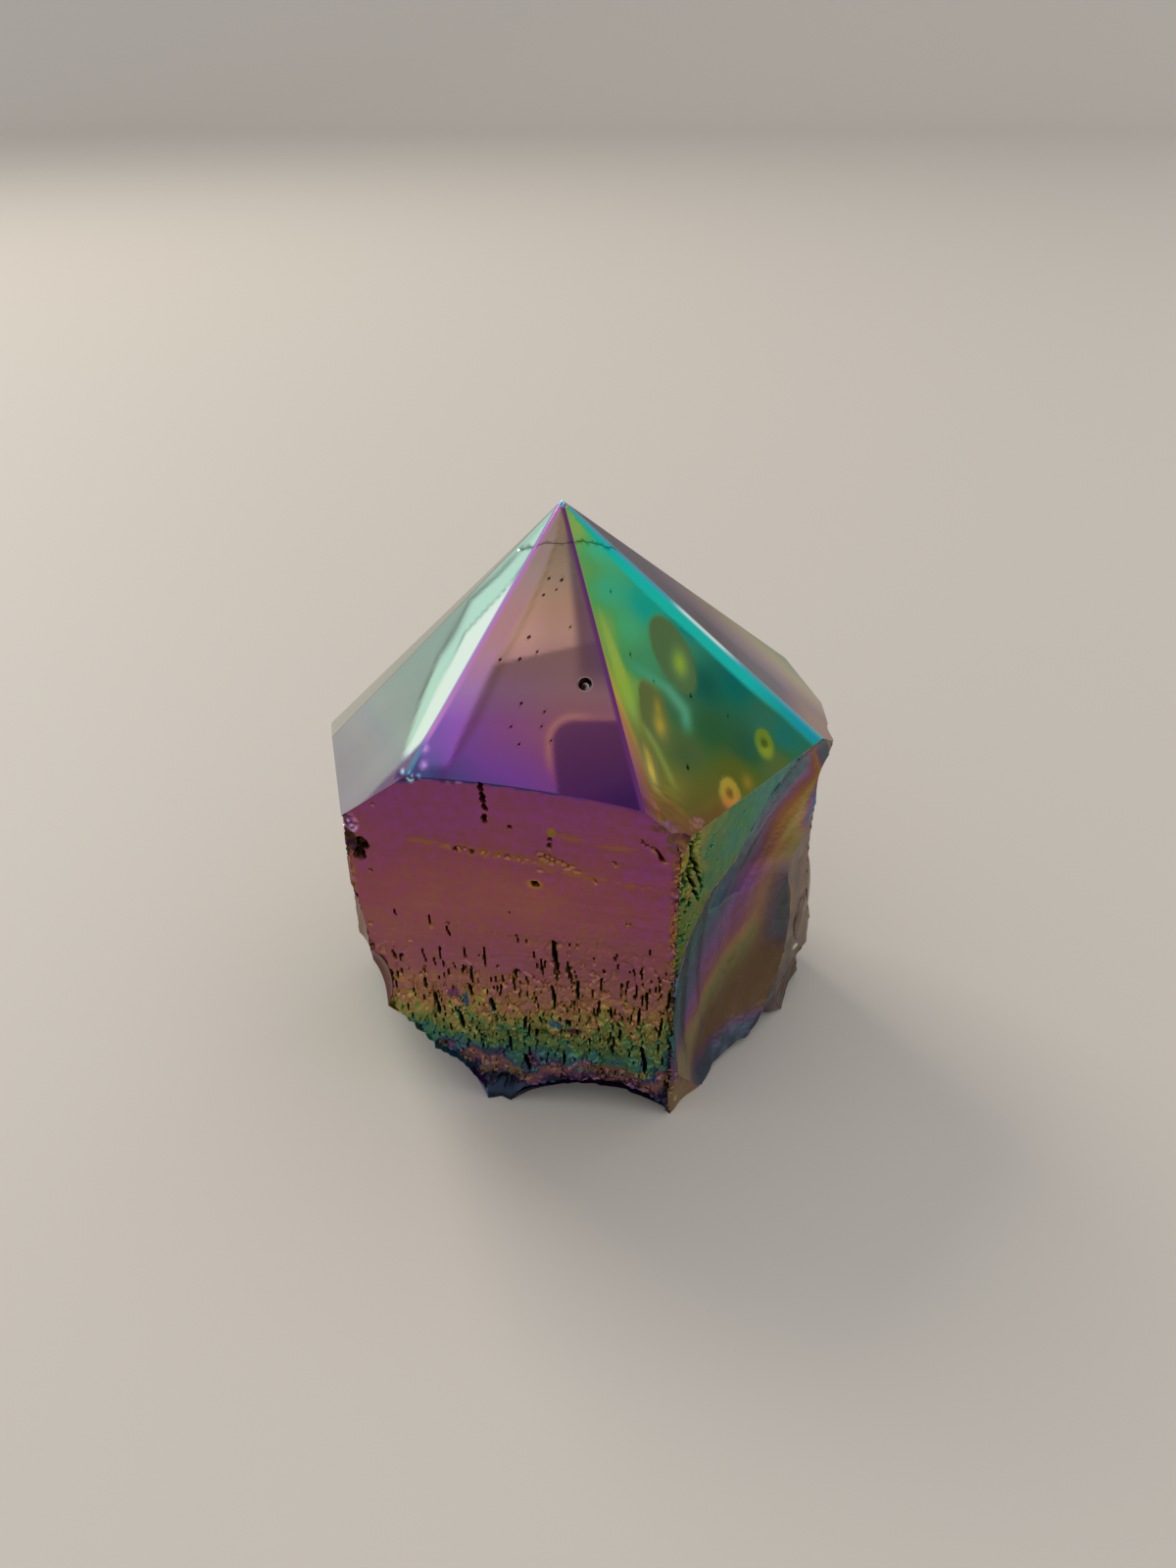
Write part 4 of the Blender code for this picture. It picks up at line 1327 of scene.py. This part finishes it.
# Colour places of the right polished facet: along, up, film, tone, paleness. 19 of these rows are
# readings of the photo's colour at their place, rounded or changed a little.
RIGHT_SPOTS = table(
    (-0.5, -4.0, -0.14, 0.74, 0.1), (0.8, -7.0, -0.25, 0.88, 0.05), (-2.4, -9.0, -0.18, 0.66, 0.1),
    (-1.2, -12.0, -0.25, 0.78, 0.05), (-5.2, -16.0, -0.14, 0.62, 0.1), (-1.8, -17.3, -0.24, 0.76, 0.05),
    (2.8, -16.2, -0.30, 0.68, 0.0), (6.8, -20.5, -0.33, 0.46, 0.0), (-2.6, -22.0, -0.23, 0.52, 0.1),
    (3.6, -22.1, -0.23, 0.38, 0.2), (-7.0, -23.5, -0.14, 0.66, 0.05), (-7.9, -28.3, -0.09, 0.32, 0.15),
    (4.4, -28.0, -0.30, 0.19, 0.05), (-1.0, -28.0, -0.22, 0.26, 0.2), (8.8, -29.8, -0.31, 0.27, 0.0),
    (-4.3, -33.9, -0.15, 0.20, 0.25), (1.5, -33.0, -0.22, 0.20, 0.1), (9.7, -35.9, -0.26, 0.27, 0.15),
    (4.9, -36.7, -0.24, 0.18, 0.15), (11.8, -38.3, -0.31, 0.31, 0.05), (8.0, -41.0, -0.12, 0.22, 0.2),
    (-1.5, -42.6, -0.03, 0.20, 0.05), (1.0, -39.4, -0.08, 0.19, 0.05), (-4.6, -40.4, -0.04, 0.18, 0.1),
    (-7.4, -39.8, -0.02, 0.17, 0.15), (-11.0, -38.4, 0.05, 0.18, 0.15), (-9.0, -36.5, -0.04, 0.28, 0.1))

# Bright hearts in the right facet, the film's yellow with painted highlight: along, up, half length, half
# width, turn, film, tone.
HEARTS = table(
    (2.7, -24.1, 1.9, 1.15, 56.0, -0.11, 0.66), (-5.4, -29.4, 1.6, 0.85, 60.0, 0.01, 0.52),
    (-4.3, -27.6, 1.4, 0.50, 60.0, -0.02, 0.42), (-10.2, -33.4, 1.7, 0.42, 70.0, 0.02, 0.85),
    (-9.5, -31.8, 1.2, 0.30, 74.0, 0.03, 0.60), (-13.8, -36.4, 2.0, 0.50, 80.0, 0.22, 0.80),
    (-12.6, -37.4, 1.6, 0.25, 76.0, 0.13, 0.50), (2.0, -40.7, 1.1, 0.9, 60.0, 0.0, 0.30),
    (7.6, -38.8, 1.0, 0.9, 0.0, -0.09, 0.52), (-2.0, -41.4, 1.1, 0.8, 0.0, 0.01, 0.60))

# Film and tone of the lenses, with painted reflection in the tone: dark beds of the first three, rings of two
# more.
LENS_BEDS = ((-0.17, 0.27), (-0.11, 0.24), (-0.05, 0.28))
LENS_RINGS = {3: (-0.11, 0.38), 4: (0.005, 0.48)}
# Bright green beside the left ridge: share across the facet, down, and half sizes.
GREEN_GLOW = (0.11, 21.0, 0.07, 9.0)


def paint_lenses(s, t, coat):
    """Painted reflections in the hollows, each with its film colour: dark beds, bright hearts as painted
    highlight, and rings with darkened middles.
    """
    shares = lens_share(s, t)
    for share, (film, tone) in zip(shares, LENS_BEDS):
        coat.lay(smooth(share, 0.0, 0.24), film, tone, 0.25)
    for k, (film, tone) in LENS_RINGS.items():
        ring = smooth(shares[k], 0.0, 0.40)
        coat.lay(ring, film, tone)
        coat.lay(0.8 * ring, pale=0.0)
    for hs, ht, long_half, wide_half, turn, film, tone in HEARTS:
        heart_highlight = np.exp(-1.2 * oval(s - hs, t - ht, long_half, wide_half, turn))
        coat.lay(heart_highlight, film, tone, 0.0)
    # Painted dark middles of the rings.
    for k in LENS_RINGS:
        coat.dim(0.55 * smooth(shares[k], 0.84, 0.97))


def paint_tip_right(s, t):
    """Yellow-green beside the left ridge to cyan beside the right one, with painted reflections and
    highlights in the hollows.
    """
    down, w = -t, facet_share("tip_right", s, t)
    coat = Coat(*from_spots(s, t, RIGHT_SPOTS, 3.5, 1.2))
    paint_lenses(s, t, coat)
    ribbon = between(down, (20.0, 23.0, 26.0, 29.3, 31.5), (-5.0, -3.4, -1.3, -0.8, -1.9))
    coat.lay(bell(s, ribbon, 0.9) * stretch(down, 20.0, 23.0, 30.0, 33.0), -0.25, 0.62)
    ribbon = between(down, (28.0, 31.0, 34.0, 36.5), (-7.7, -7.7, -8.1, -8.5))
    coat.lay(bell(s, ribbon, 0.4) * stretch(down, 27.0, 30.0, 35.0, 37.5), -0.10, 0.46)
    start = between(down, (0.0, 12.0, 22.0, 31.0, 36.0, 44.0), (0.62, 0.76, 0.86, 0.89, 0.92, 0.93))
    coat.lay(smooth(w, start, start + 0.035), between(down, (0.0, 30.0, 44.0), (-0.30, -0.32, -0.38)),
             between(down, (0.0, 12.0, 30.0, 36.0, 44.0), (0.88, 1.02, 1.0, 0.75, 0.70)), 0.0)
    left = fall(w, 0.01, 0.05 + 0.05 * smooth(down, 18.0, 30.0))
    film = between(down, (12.0, 16.0, 22.0, 27.0, 33.0, 38.0), (-0.13, -0.11, -0.03, 0.12, 0.24, 0.26))
    coat.lay(left, film, between(down, (0.0, 20.0, 27.0, 33.0, 38.0), (0.62, 0.55, 0.55, 0.46, 0.30)))
    coat.lay(fall(spot(w, down, *GREEN_GLOW), 0.4, 1.0), -0.12, 0.72)
    streaks = noise2((s + 0.35 * t) / 0.35, t / 4.0, 331) * fall(s, -11.5, -7.5) * smooth(down, 34.0, 37.0)
    low = smooth(down, 36.5, 40.5) * smooth(down, 39.0, 42.0) * fall(s, -5.0, 2.0)
    coat.shift(0.10 * low + 0.06 * streaks)
    coat.dim(-0.6 * np.clip(streaks, -0.6, 1.0))
    return coat


def paint_tip_left(s, t):
    """Grey-green, lighter toward the tip, then mint and near white beside the front ridge, split by two dark
    lines: painted reflections of a window and of darker things beside it.
    """
    down = -t
    dark = between(down, (0.0, 8.0, 11.7, 16.4, 19.9, 23.9, 26.9, 29.0, 33.5, 36.0),
                   (0.0, 0.6, 0.5, -0.4, 1.3, 2.8, 4.8, 6.3, 10.2, 13.0))
    fine = between(down, (0.0, 5.9, 11.7, 19.5, 26.0, 33.0), (1.8, 2.7, 3.9, 3.7, 6.9, 10.8))
    coat = Coat(between(down, (0.0, 24.0, 33.0, 37.0, 45.0), (0.72, 0.72, 0.76, 0.30, 0.33)),
                between(down, (0.0, 12.0, 18.0, 27.0, 36.0, 45.0), (1.2, 1.05, 0.78, 0.70, 0.66, 0.64)),
                between(down, (0.0, 18.0, 27.0, 33.0, 37.0, 41.0, 46.0),
                        (0.60, 0.70, 0.76, 0.90, 0.90, 0.80, 0.74)))
    coat.dim(-0.05 * noise2(s / 3.0, t / 9.0, 341))
    upper = fall(down, 33.0, 35.0)
    # Painted reflection of a window: two bright bands beside the front ridge.
    coat.lay(smooth(s, dark, dark + 0.9) * upper, tone=1.45, pale=0.62)
    coat.lay(smooth(s, fine, fine + 0.7) * upper, tone=1.64, pale=0.88)
    # Painted reflection: dark lines at the bands' edges, and a dark blotch.
    line = bell(s, dark, 0.45) * stretch(down, 7.0, 10.0, 28.0, 32.0)
    coat.dim(0.42 * np.maximum(line, bell(s, dark + 0.3, 0.9) * bell(down, 21.0, 3.2)))
    coat.dim(0.40 * bell(s, fine, 0.22) * stretch(down, 4.0, 7.0, 23.0, 26.0))
    edge = between(down, (28.4, 31.9, 35.2, 38.6, 42.2, 45.4), (11.8, 12.3, 12.0, 11.6, 11.6, 11.9))
    coat.lay(smooth(s, edge, edge + 0.8) * smooth(down, 28.4, 30.0), 0.36, 0.40, 0.45)
    return coat


# The far right facet: distance from its left ridge, film, tone, paleness.
FAR_RIGHT_BANDS = (
    (-3.0, 0.46, 0.34, 0.40), (0.0, 0.46, 0.32, 0.40), (1.5, 0.45, 0.34, 0.40), (2.6, 0.41, 0.50, 0.46),
    (4.6, 0.33, 0.62, 0.54), (7.2, 0.20, 0.72, 0.68), (10.0, -0.02, 0.72, 0.70), (13.5, -0.14, 0.64, 0.60),
)


def paint_tip_far_right(s, t):
    """Indigo beside the ridge and near the tip, then mauve, grey and olive at the far side."""
    gap = s - 0.05 * t
    coat = Coat(*profile(gap, FAR_RIGHT_BANDS))
    coat.lay(0.85 * fall(-t, 12.0, 24.0), 0.45, 0.42, 0.45)
    low = smooth(-t, 37.0, 43.0)
    beside = low * fall(gap, 1.5, 4.0)
    coat.lay(beside, 0.18, 0.56)
    coat.shift(0.02 * noise2(s / 4.0, t / 7.0, 351) - 0.08 * low * (1.0 - beside))
    return coat


TIP_PAINTERS = {"tip_front": paint_tip_front, "tip_right": paint_tip_right, "tip_left": paint_tip_left,
                "tip_far_right": paint_tip_far_right}
# Facets at the back: film at the left and at the right ridge, tone, paleness.
BACK_FACETS = {
    "tip_far_left": (-0.30, -0.12, 0.55, 0.6), "tip_back_left": (0.30, 0.62, 0.55, 0.1),
    "tip_back": (-0.38, -0.02, 0.6, 0.1), "tip_back_right": (0.05, 0.44, 0.55, 0.15),
}


def paint_back_facet(name, s, t):
    first, last, tone, pale = BACK_FACETS[name]
    across = 0.75 * facet_share(name, s, t) + 0.25 * smooth(-t, 5.0, 40.0)
    film = first + (last - first) * across + 0.05 * noise2(s / 7.0, t / 7.0, 361)
    return Coat(film, tone * (1.0 + 0.2 * noise2(s / 5.0, t / 9.0, 362)), pale)


def paint_facet(name, p, plane):
    """A polished facet with its pits, darkened as painted shade with a painted highlight in big ones, and the
    crack round the tip.
    """
    s, t = facet_place(plane, p).T
    coat = TIP_PAINTERS[name](s, t) if name in TIP_PAINTERS else paint_back_facet(name, s, t)
    for ps, pt, radius, _ in PITS.get(name, ()):
        # Pits are darkened: painted shade.
        hole = fall(pit_share(s, t, ps, pt, radius), 0.75, 1.12)
        coat.dim((0.93 if radius > BIG_PIT else 0.75) * hole)
        if radius > BIG_PIT:
            # A pale crescent on one side of a big pit: painted highlight.
            pit_highlight = hole * smooth(np.hypot(s - ps + 0.35 * radius, t - pt + 0.1) / radius, 0.55, 0.8)
            coat.tone = coat.tone + 0.55 * pit_highlight
            coat.lay(pit_highlight, pale=0.9)
    if name in RING_FACETS:
        coat.dim((0.35 if name == "tip_far_right" else 0.72) * ring_share(p))
    coat.rough = 0.07 + 0.03 * noise2(s / 2.0, t / 2.0, 363)
    return coat


def paint_natural(name, p, plane, deep):
    """Natural faces that are not seen from the front: banded by height, darker where eaten."""
    s, z = p @ plane.u, p[:, 2]
    k = list(PRISM_FACES).index(name[6:])
    height = z + 0.9 * noise2(s / 4.0, z / 3.0, 371 + k)
    film = between(height, (0.0, 4.0, 8.0, 14.0, 20.0, 30.0, 40.0, 50.0),
                   (-0.45, -0.62, -0.38, -0.18, 0.02, 0.14, 0.22, 0.28))
    gone = smooth(deep, 0.3, 0.8)
    tone = between(z, (0.0, 6.0, 20.0, 50.0), (0.3, 0.42, 0.5, 0.55)) * (1.0 - 0.4 * gone)
    return Coat(film + 0.06 * math.sin(k * 2.1) - 0.25 * gone, tone, 0.12, 0.36)


def paint_scar(name, p):
    """Break scars, each kind with its own colours by height."""
    grain = noise3(p / 3.0, 382)
    across, z = along_right_front(p), p[:, 2]
    if name in ("upper_trough", "lower_trough"):
        coat = paint_right_scars(across, z, p)
        if name == "upper_trough":
            coat.tone = coat.tone * between(z, (26.0, 28.0, 30.0, 31.0), (0.5, 0.5, 0.75, 1.0))
        coat.rough = 0.26 + 0.03 * grain
        return coat
    if name == "side_lump":
        coat = paint_bulge(across, z, p)
        coat.rough = 0.3
        return coat
    if name in ("side_scoop", "side_heel"):
        film = between(z, (0.0, 10.0, 20.0, 30.0, 40.0, 48.0), (0.12, 0.10, 0.08, 0.30, 0.50, 0.42))
        tone = between(z, (0.0, 10.0, 24.0, 34.0, 48.0), (0.18, 0.22, 0.26, 0.36, 0.45))
        return Coat(film + 0.05 * grain, tone * (1.0 + 0.2 * grain), 0.5, 0.3)
    if name in ("left_corner", "left_toe"):
        film = between(z, (0.0, 3.0, 6.0, 9.0, 12.0, 16.0), (-0.46, -0.60, -0.36, -0.30, -0.14, 0.04))
        return Coat(film + 0.08 * grain, 0.50 * (1.0 + 0.25 * grain), 0.1, 0.32)
    if name in ("left_flake", "left_chip", "left_side"):
        return Coat(0.20 + 0.06 * grain - 0.26 * fall(z, 8.0, 18.0), 0.28 + 0.06 * grain, 0.15, 0.28)
    if name == "base_arch":
        # The arch's low inside is nearly black: painted shadow.
        film = between(z, (0.0, 4.0, 6.5, 8.0), (-0.46, -0.50, -0.84, -0.80))
        tone = between(z, (0.0, 4.5, 6.5, 8.0), (0.05, 0.08, 0.34, 0.40))
        return Coat(film + 0.05 * grain, tone, 0.05, 0.35)
    if name in ("corner_chip", "edge_chip"):
        tone = 0.26 + 0.22 * np.clip(noise3(p / 0.35, 384), -0.7, 1.0)
        shade = 0.3 if name == "edge_chip" else 1.0
        return Coat(0.20 + 0.26 * noise3(p / 0.5, 383), tone * shade, 0.12, 0.24)
    film = between(z, (0.0, 8.0, 16.0, 24.0, 32.0), (-0.5, -0.3, -0.1, 0.1, 0.3))
    return Coat(film + 0.08 * grain, 0.45 + 0.1 * grain, 0.15, 0.28)


# Ridges that carry a line of their own colour on to a facet: facet, the facet beyond, ridge.
RIDGE_LINES = (
    ("tip_front", "tip_left", "ridge_left_front"), ("tip_left", "tip_front", "ridge_left_front"),
    ("tip_front", "tip_right", "ridge_front_right"),
    ("tip_right", "tip_far_right", "ridge_right_far_right"),
    ("tip_far_right", "tip_right", "ridge_right_far_right"),
)
# Film, tone and paleness of the ridges. The high tones of the left-front and right-to-far-right ridges are
# partly painted highlight.
RIDGE_COLOURS = {
    "ridge_left_front": (0.34, 1.20, 0.22), "ridge_front_right": (0.36, 0.30, 0.05),
    "ridge_right_far_right": (-0.40, 0.90, 0.12), "ridge_far_left_left": (-0.2, 0.35, 0.5),
}
OTHER_RIDGE = (0.3, 0.5, 0.3)
# Glittering crushed spots: x, y, z, radii along and up, film, spread, shine.
CRUSHED = (
    (-20.6, -25.7, 51.5, 2.4, 0.75, 0.50, 0.25, 1.3), (-28.1, -25.3, 44.7, 1.1, 1.5, 0.32, 0.12, 1.3),
    (-15.6, -27.0, 51.0, 1.3, 0.35, 0.38, 0.15, 1.3), (-3.1, -1.4, 75.5, 1.2, 0.8, 0.62, 0.12, 1.3),
    (9.2, -29.6, 47.0, 2.4, 0.8, 0.22, 0.20, 0.22), (12.9, -27.6, 46.2, 1.6, 0.6, 0.14, 0.20, 0.28),
    (9.7, -30.0, 45.0, 0.9, 1.7, 0.20, 0.22, 0.2))


def paint_ridge(name, p):
    """A ridge's own line of colour, partly painted highlight on two ridges. name goes without the number of
    its narrow face.
    """
    coat = Coat(*RIDGE_COLOURS.get(name, OTHER_RIDGE), 0.12)
    down = TIP[2] - p[:, 2]
    if name == "ridge_left_front":
        coat.lay(smooth(down, 20.0, 22.5), 0.60)
        coat.tone = coat.tone * between(down, (0.0, 8.0, 20.0, 23.0), (0.75, 0.9, 1.0, 0.55))
    if name == "ridge_right_far_right":
        # A white painted highlight along part of this ridge.
        white_highlight = stretch(down, 11.5, 13.5, 17.0, 20.5)
        coat.tone = coat.tone + 0.5 * white_highlight
        coat.pale = coat.pale + 0.63 * white_highlight
    coat.dim(0.6 * ring_share(p))
    return coat


def paint_lines(stone, name, ids, coat):
    """Carry each ridge's colour, with its painted highlight, a little way on to the facets beside it."""
    for own, other, ridge in RIDGE_LINES:
        if own == name:
            turn = math.sqrt(1.0 - (stone.by_name[own].n @ stone.by_name[other].n) ** 2)
            line = paint_ridge(ridge, stone.points[ids])
            share = fall(stone.gap_between(ids, other) / turn, 0.22, 0.60)
            coat.lay(share, line.film, line.tone, line.pale)


def paint_crushed(p, coat):
    """Small glittering cells where an edge is crushed."""
    number = 0.5 + 0.5 * noise3(p / 0.30, 394)
    for x, y, z, along, up, colour, spread, shine in CRUSHED:
        gap = np.linalg.norm((p - (x, y, z)) / (along, 1.2, up), axis=1)
        coat.lay(fall(gap, 0.75, 1.05), colour + spread * (2.0 * number - 1.0),
                 0.25 + shine * smooth(number, 0.45, 0.75),
                 0.15 + 0.45 * min(shine, 1.0) * smooth(number, 0.6, 0.85))


def paint_face(stone, name, ids):
    """The film at points of one face."""
    p = stone.points[ids]
    if name not in stone.by_name:
        return paint_scar(name, p)
    plane = stone.by_name[name]
    if name == "base":
        grain = noise3(p / 2.0, 391)
        return Coat(-0.46 + 0.1 * grain, 0.16 + 0.05 * grain, 0.1, 0.42)
    if name.startswith("ridge"):
        return paint_ridge(name[:-2], p)
    if name.startswith("tip"):
        return paint_facet(name, p, plane)
    if name == "prism_front":
        top = stone.gap_between(ids, "tip_front") / TOP_EDGE_TURN
        return paint_front(p[:, 0], p[:, 2], stone.front, *stone.side_gaps(ids), top)
    if name == "prism_right_front":
        return paint_right_front(p, stone.deep[name])
    return paint_natural(name, p, plane, stone.deep[name])


def paint(stone, name, ids):
    """The film at points of one face, finished with its ridge lines and crushed spots."""
    coat = paint_face(stone, name, ids)
    paint_lines(stone, name, ids, coat)
    paint_crushed(stone.points[ids], coat)
    return coat


# ---------------------------------------------------------------- material
BLEACHED = (0.60, 0.62, 0.52, 1.0)
WHOLE_TURNS = 4.0   # keeps the phase above 0, so that its fraction is the place in the colour order
BUMP_HEIGHT = 0.0002


def ramp_of(nodes, stops):
    node = nodes.new("ShaderNodeValToRGB")
    ramp = node.color_ramp
    for end in (ramp.elements[0], ramp.elements[1]):
        end.color = (*stops[0][1], 1.0)
    for place, colour in stops[1:]:
        ramp.elements.new(place).color = (*colour, 1.0)
    return node


def film_material():
    """Metallic film: colour order from the mesh's phase, dulled or bleached by tone and paleness."""
    material = bpy.data.materials.new("titanium_film")
    material.use_nodes = True
    nodes, links = material.node_tree.nodes, material.node_tree.links
    shader = nodes["Principled BSDF"]
    shader.inputs["Metallic"].default_value = 1.0

    def attribute(name):
        node = nodes.new("ShaderNodeAttribute")
        node.attribute_name = name
        return node.outputs["Fac"]

    def feed(socket, value):
        """Link an output to a socket, or set it to a plain value."""
        if isinstance(value, bpy.types.NodeSocket):
            links.new(value, socket)
        else:
            socket.default_value = value

    def maths(kind, *values):
        node = nodes.new("ShaderNodeMath")
        node.operation = kind
        for socket, value in zip(node.inputs, values):
            feed(socket, value)
        return node.outputs[0]

    def noise(scale, detail):
        node = nodes.new("ShaderNodeTexNoise")
        feed(node.inputs["Vector"], nodes.new("ShaderNodeTexCoord").outputs["Object"])
        feed(node.inputs["Scale"], scale)
        feed(node.inputs["Detail"], detail)
        return node.outputs["Fac"]

    def colours(blend, share, first, second):
        node = nodes.new("ShaderNodeMix")
        node.data_type = "RGBA"
        node.blend_type = blend
        for k, value in ((0, share), (6, first), (7, second)):
            feed(node.inputs[k], value)
        return node.outputs[2]

    grain = maths("SUBTRACT", noise(900.0, 4.0), 0.5)
    cloud = maths("SUBTRACT", noise(160.0, 2.0), 0.5)
    natural = attribute("grain")
    speckle = maths("MULTIPLY", grain, natural)
    drift = maths("ADD", maths("MULTIPLY", speckle, 0.16), maths("MULTIPLY", cloud, 0.05))
    phase = maths("FRACT", maths("ADD", maths("ADD", attribute("film"), drift), WHOLE_TURNS))
    ramp = ramp_of(nodes, FILM)
    feed(ramp.inputs[0], phase)
    bleached = colours("MIX", attribute("pale"), ramp.outputs["Color"], BLEACHED)
    level = maths("MULTIPLY", attribute("tone"), maths("ADD", 1.0, maths("MULTIPLY", speckle, 0.5)))
    shade = nodes.new("ShaderNodeCombineColor")
    for socket in shade.inputs[:3]:
        feed(socket, level)
    feed(shader.inputs["Base Color"], colours("MULTIPLY", 1.0, bleached, shade.outputs[0]))
    feed(shader.inputs["Roughness"], attribute("rough"))
    bump = nodes.new("ShaderNodeBump")
    feed(bump.inputs["Strength"], 0.35)
    feed(bump.inputs["Distance"], BUMP_HEIGHT)
    feed(bump.inputs["Height"], maths("MULTIPLY", noise(1400.0, 4.0), natural))
    feed(shader.inputs["Normal"], bump.outputs["Normal"])
    return material


# ---------------------------------------------------------------- finished object
SHARP_FROM = 32.0


def keep_ridges_crisp(mesh, tris, names):
    """Mark the borders of the narrow ridge faces as sharp."""
    count = len(mesh.vertices)
    on_ridge = np.array([str(name).startswith("ridge") for name in names])
    kinds = np.unique(names, return_inverse=True)[1]
    sides = sides_of(tris).astype(np.int64)
    code = sides[:, 0] * count + sides[:, 1]
    kind = np.tile(kinds, 3)
    order = np.argsort(code, kind="stable")
    code, kind, ridge = code[order], kind[order], np.tile(on_ridge, 3)[order]
    border = (code[1:] == code[:-1]) & (kind[1:] != kind[:-1]) & (ridge[1:] | ridge[:-1])
    ends = np.zeros(len(mesh.edges) * 2, np.int32)
    mesh.edges.foreach_get("vertices", ends)
    ends = np.sort(ends.reshape(-1, 2), axis=1).astype(np.int64)
    crisp = np.isin(ends[:, 0] * count + ends[:, 1], code[1:][border])
    for i in np.where(crisp)[0].tolist():
        mesh.edges[i].use_edge_sharp = True


def stone_object():
    """The stone in metres, with its colours kept on the corners of its triangles."""
    stone = Stone()
    stone.shape()
    report_closed(stone.tris)
    mesh = bpy.data.meshes.new(PIECE)
    tris = stone.tris
    mesh.from_pydata((stone.placed * MM).tolist(), [], tris.tolist())
    values = {kind: np.zeros(len(tris) * 3) for kind in (*KINDS, "grain")}
    for name, ids in stone.member.items():
        where = np.where(stone.names == name)[0]
        coat = paint(stone, name, ids)
        slot = np.searchsorted(ids, tris[where].ravel())
        corners = (where[:, None] * 3 + np.arange(3)).ravel()
        for kind in KINDS:
            values[kind][corners] = np.broadcast_to(getattr(coat, kind), (len(ids),))[slot]
        values["grain"][corners] = 0.0 if name.startswith(("tip", "ridge")) else 1.0
    mesh.update()
    for kind, value in values.items():
        layer = mesh.attributes.new(kind, "FLOAT", "CORNER")
        layer.data.foreach_set("value", value.astype(np.float32))
    mesh.validate()
    mesh.shade_smooth()
    mesh.set_sharp_from_angle(angle=math.radians(SHARP_FROM))
    keep_ridges_crisp(mesh, tris, stone.names)
    mesh.materials.append(film_material())
    obj = bpy.data.objects.new(PIECE, mesh)
    bpy.context.scene.collection.objects.link(obj)
    weigh = obj.modifiers.new("face_weights", "WEIGHTED_NORMAL")
    weigh.keep_sharp = True
    weigh.weight = 80
    return obj


# Floor and the wall that it curves up into, in metres.
FLOOR_FRONT = -2.0
FLOOR_BACK = 1.6
FLOOR_HALF = 2.5
BEND = 0.5
WALL_TOP = 2.6
WALL_HALF = 1.2


def floor_object():
    """Pale floor that curves up far behind the stone."""
    bm = bmesh.new()
    rows = [(FLOOR_FRONT, 0.0), (FLOOR_BACK, 0.0)]
    for a in np.linspace(0.1, math.pi / 2, 14):
        rows.append((FLOOR_BACK + BEND * math.sin(a), BEND * (1.0 - math.cos(a))))
    rows.append((FLOOR_BACK + BEND, WALL_TOP))
    lines = []
    for y, z in rows:
        half = FLOOR_HALF if z == 0.0 else WALL_HALF
        lines.append([bm.verts.new((x, y, z)) for x in (-half, half)])
    for a, b in zip(lines, lines[1:]):
        bm.faces.new((a[0], a[1], b[1], b[0]))
    mesh = bpy.data.meshes.new("floor")
    bm.to_mesh(mesh)
    bm.free()
    mesh.shade_smooth()
    material = bpy.data.materials.new("pale_floor")
    material.use_nodes = True
    shader = material.node_tree.nodes["Principled BSDF"]
    shader.inputs["Base Color"].default_value = (0.52, 0.465, 0.40, 1.0)
    shader.inputs["Roughness"].default_value = 0.6
    mesh.materials.append(material)
    floor = bpy.data.objects.new("floor", mesh)
    bpy.context.scene.collection.objects.link(floor)


# Window light, in metres and watts.
WINDOW_PLACE = Vector((-0.6, 0.66, 0.82))
WINDOW_AIM = Vector((0.0, 0.0, 0.03))
WINDOW_SIZE = 0.5
WINDOW_POWER = 6.0
# Camera: place in metres, tilt down from level, focal length and long side of the photo in its pixels.
CAMERA_PLACE = (0.0, -0.1389, 0.124)
CAMERA_TILT = 33.0
FOCAL_PIXELS = 1202.0
PHOTO_PIXELS = 1600.0
SENSOR = 36.0


def light_scene():
    """Pale sky from all round, and a window light behind the stone on the left."""
    world = bpy.data.worlds.new("studio")
    bpy.context.scene.world = world
    world.use_nodes = True
    back = world.node_tree.nodes["Background"]
    back.inputs["Color"].default_value = (0.90, 0.94, 1.0, 1.0)
    back.inputs["Strength"].default_value = 0.9
    light = bpy.data.lights.new("window", "AREA")
    light.shape = "SQUARE"
    light.size = WINDOW_SIZE
    light.energy = WINDOW_POWER
    light.color = (1.0, 0.96, 0.88)
    window = bpy.data.objects.new("window", light)
    window.location = WINDOW_PLACE
    window.rotation_euler = (WINDOW_AIM - WINDOW_PLACE).to_track_quat("-Z", "Y").to_euler()
    bpy.context.scene.collection.objects.link(window)
    bpy.context.scene.view_settings.view_transform = "Standard"


def camera():
    data = bpy.data.cameras.new("camera")
    data.sensor_width = SENSOR
    data.lens = SENSOR * FOCAL_PIXELS / PHOTO_PIXELS
    data.clip_start = 0.01
    obj = bpy.data.objects.new("camera", data)
    obj.location = CAMERA_PLACE
    obj.rotation_euler = (math.radians(90.0 - CAMERA_TILT), 0.0, 0.0)
    bpy.context.scene.collection.objects.link(obj)
    bpy.context.scene.camera = obj


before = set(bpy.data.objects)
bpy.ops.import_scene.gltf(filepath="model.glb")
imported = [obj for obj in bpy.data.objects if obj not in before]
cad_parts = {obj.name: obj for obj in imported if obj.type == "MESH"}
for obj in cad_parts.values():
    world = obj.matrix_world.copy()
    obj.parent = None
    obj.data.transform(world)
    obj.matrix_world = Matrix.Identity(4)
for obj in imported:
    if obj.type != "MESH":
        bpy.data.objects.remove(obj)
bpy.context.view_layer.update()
stone = stone_object()
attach(stone, "root")
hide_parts("aura_quartz_point")
floor_object()
light_scene()
camera()
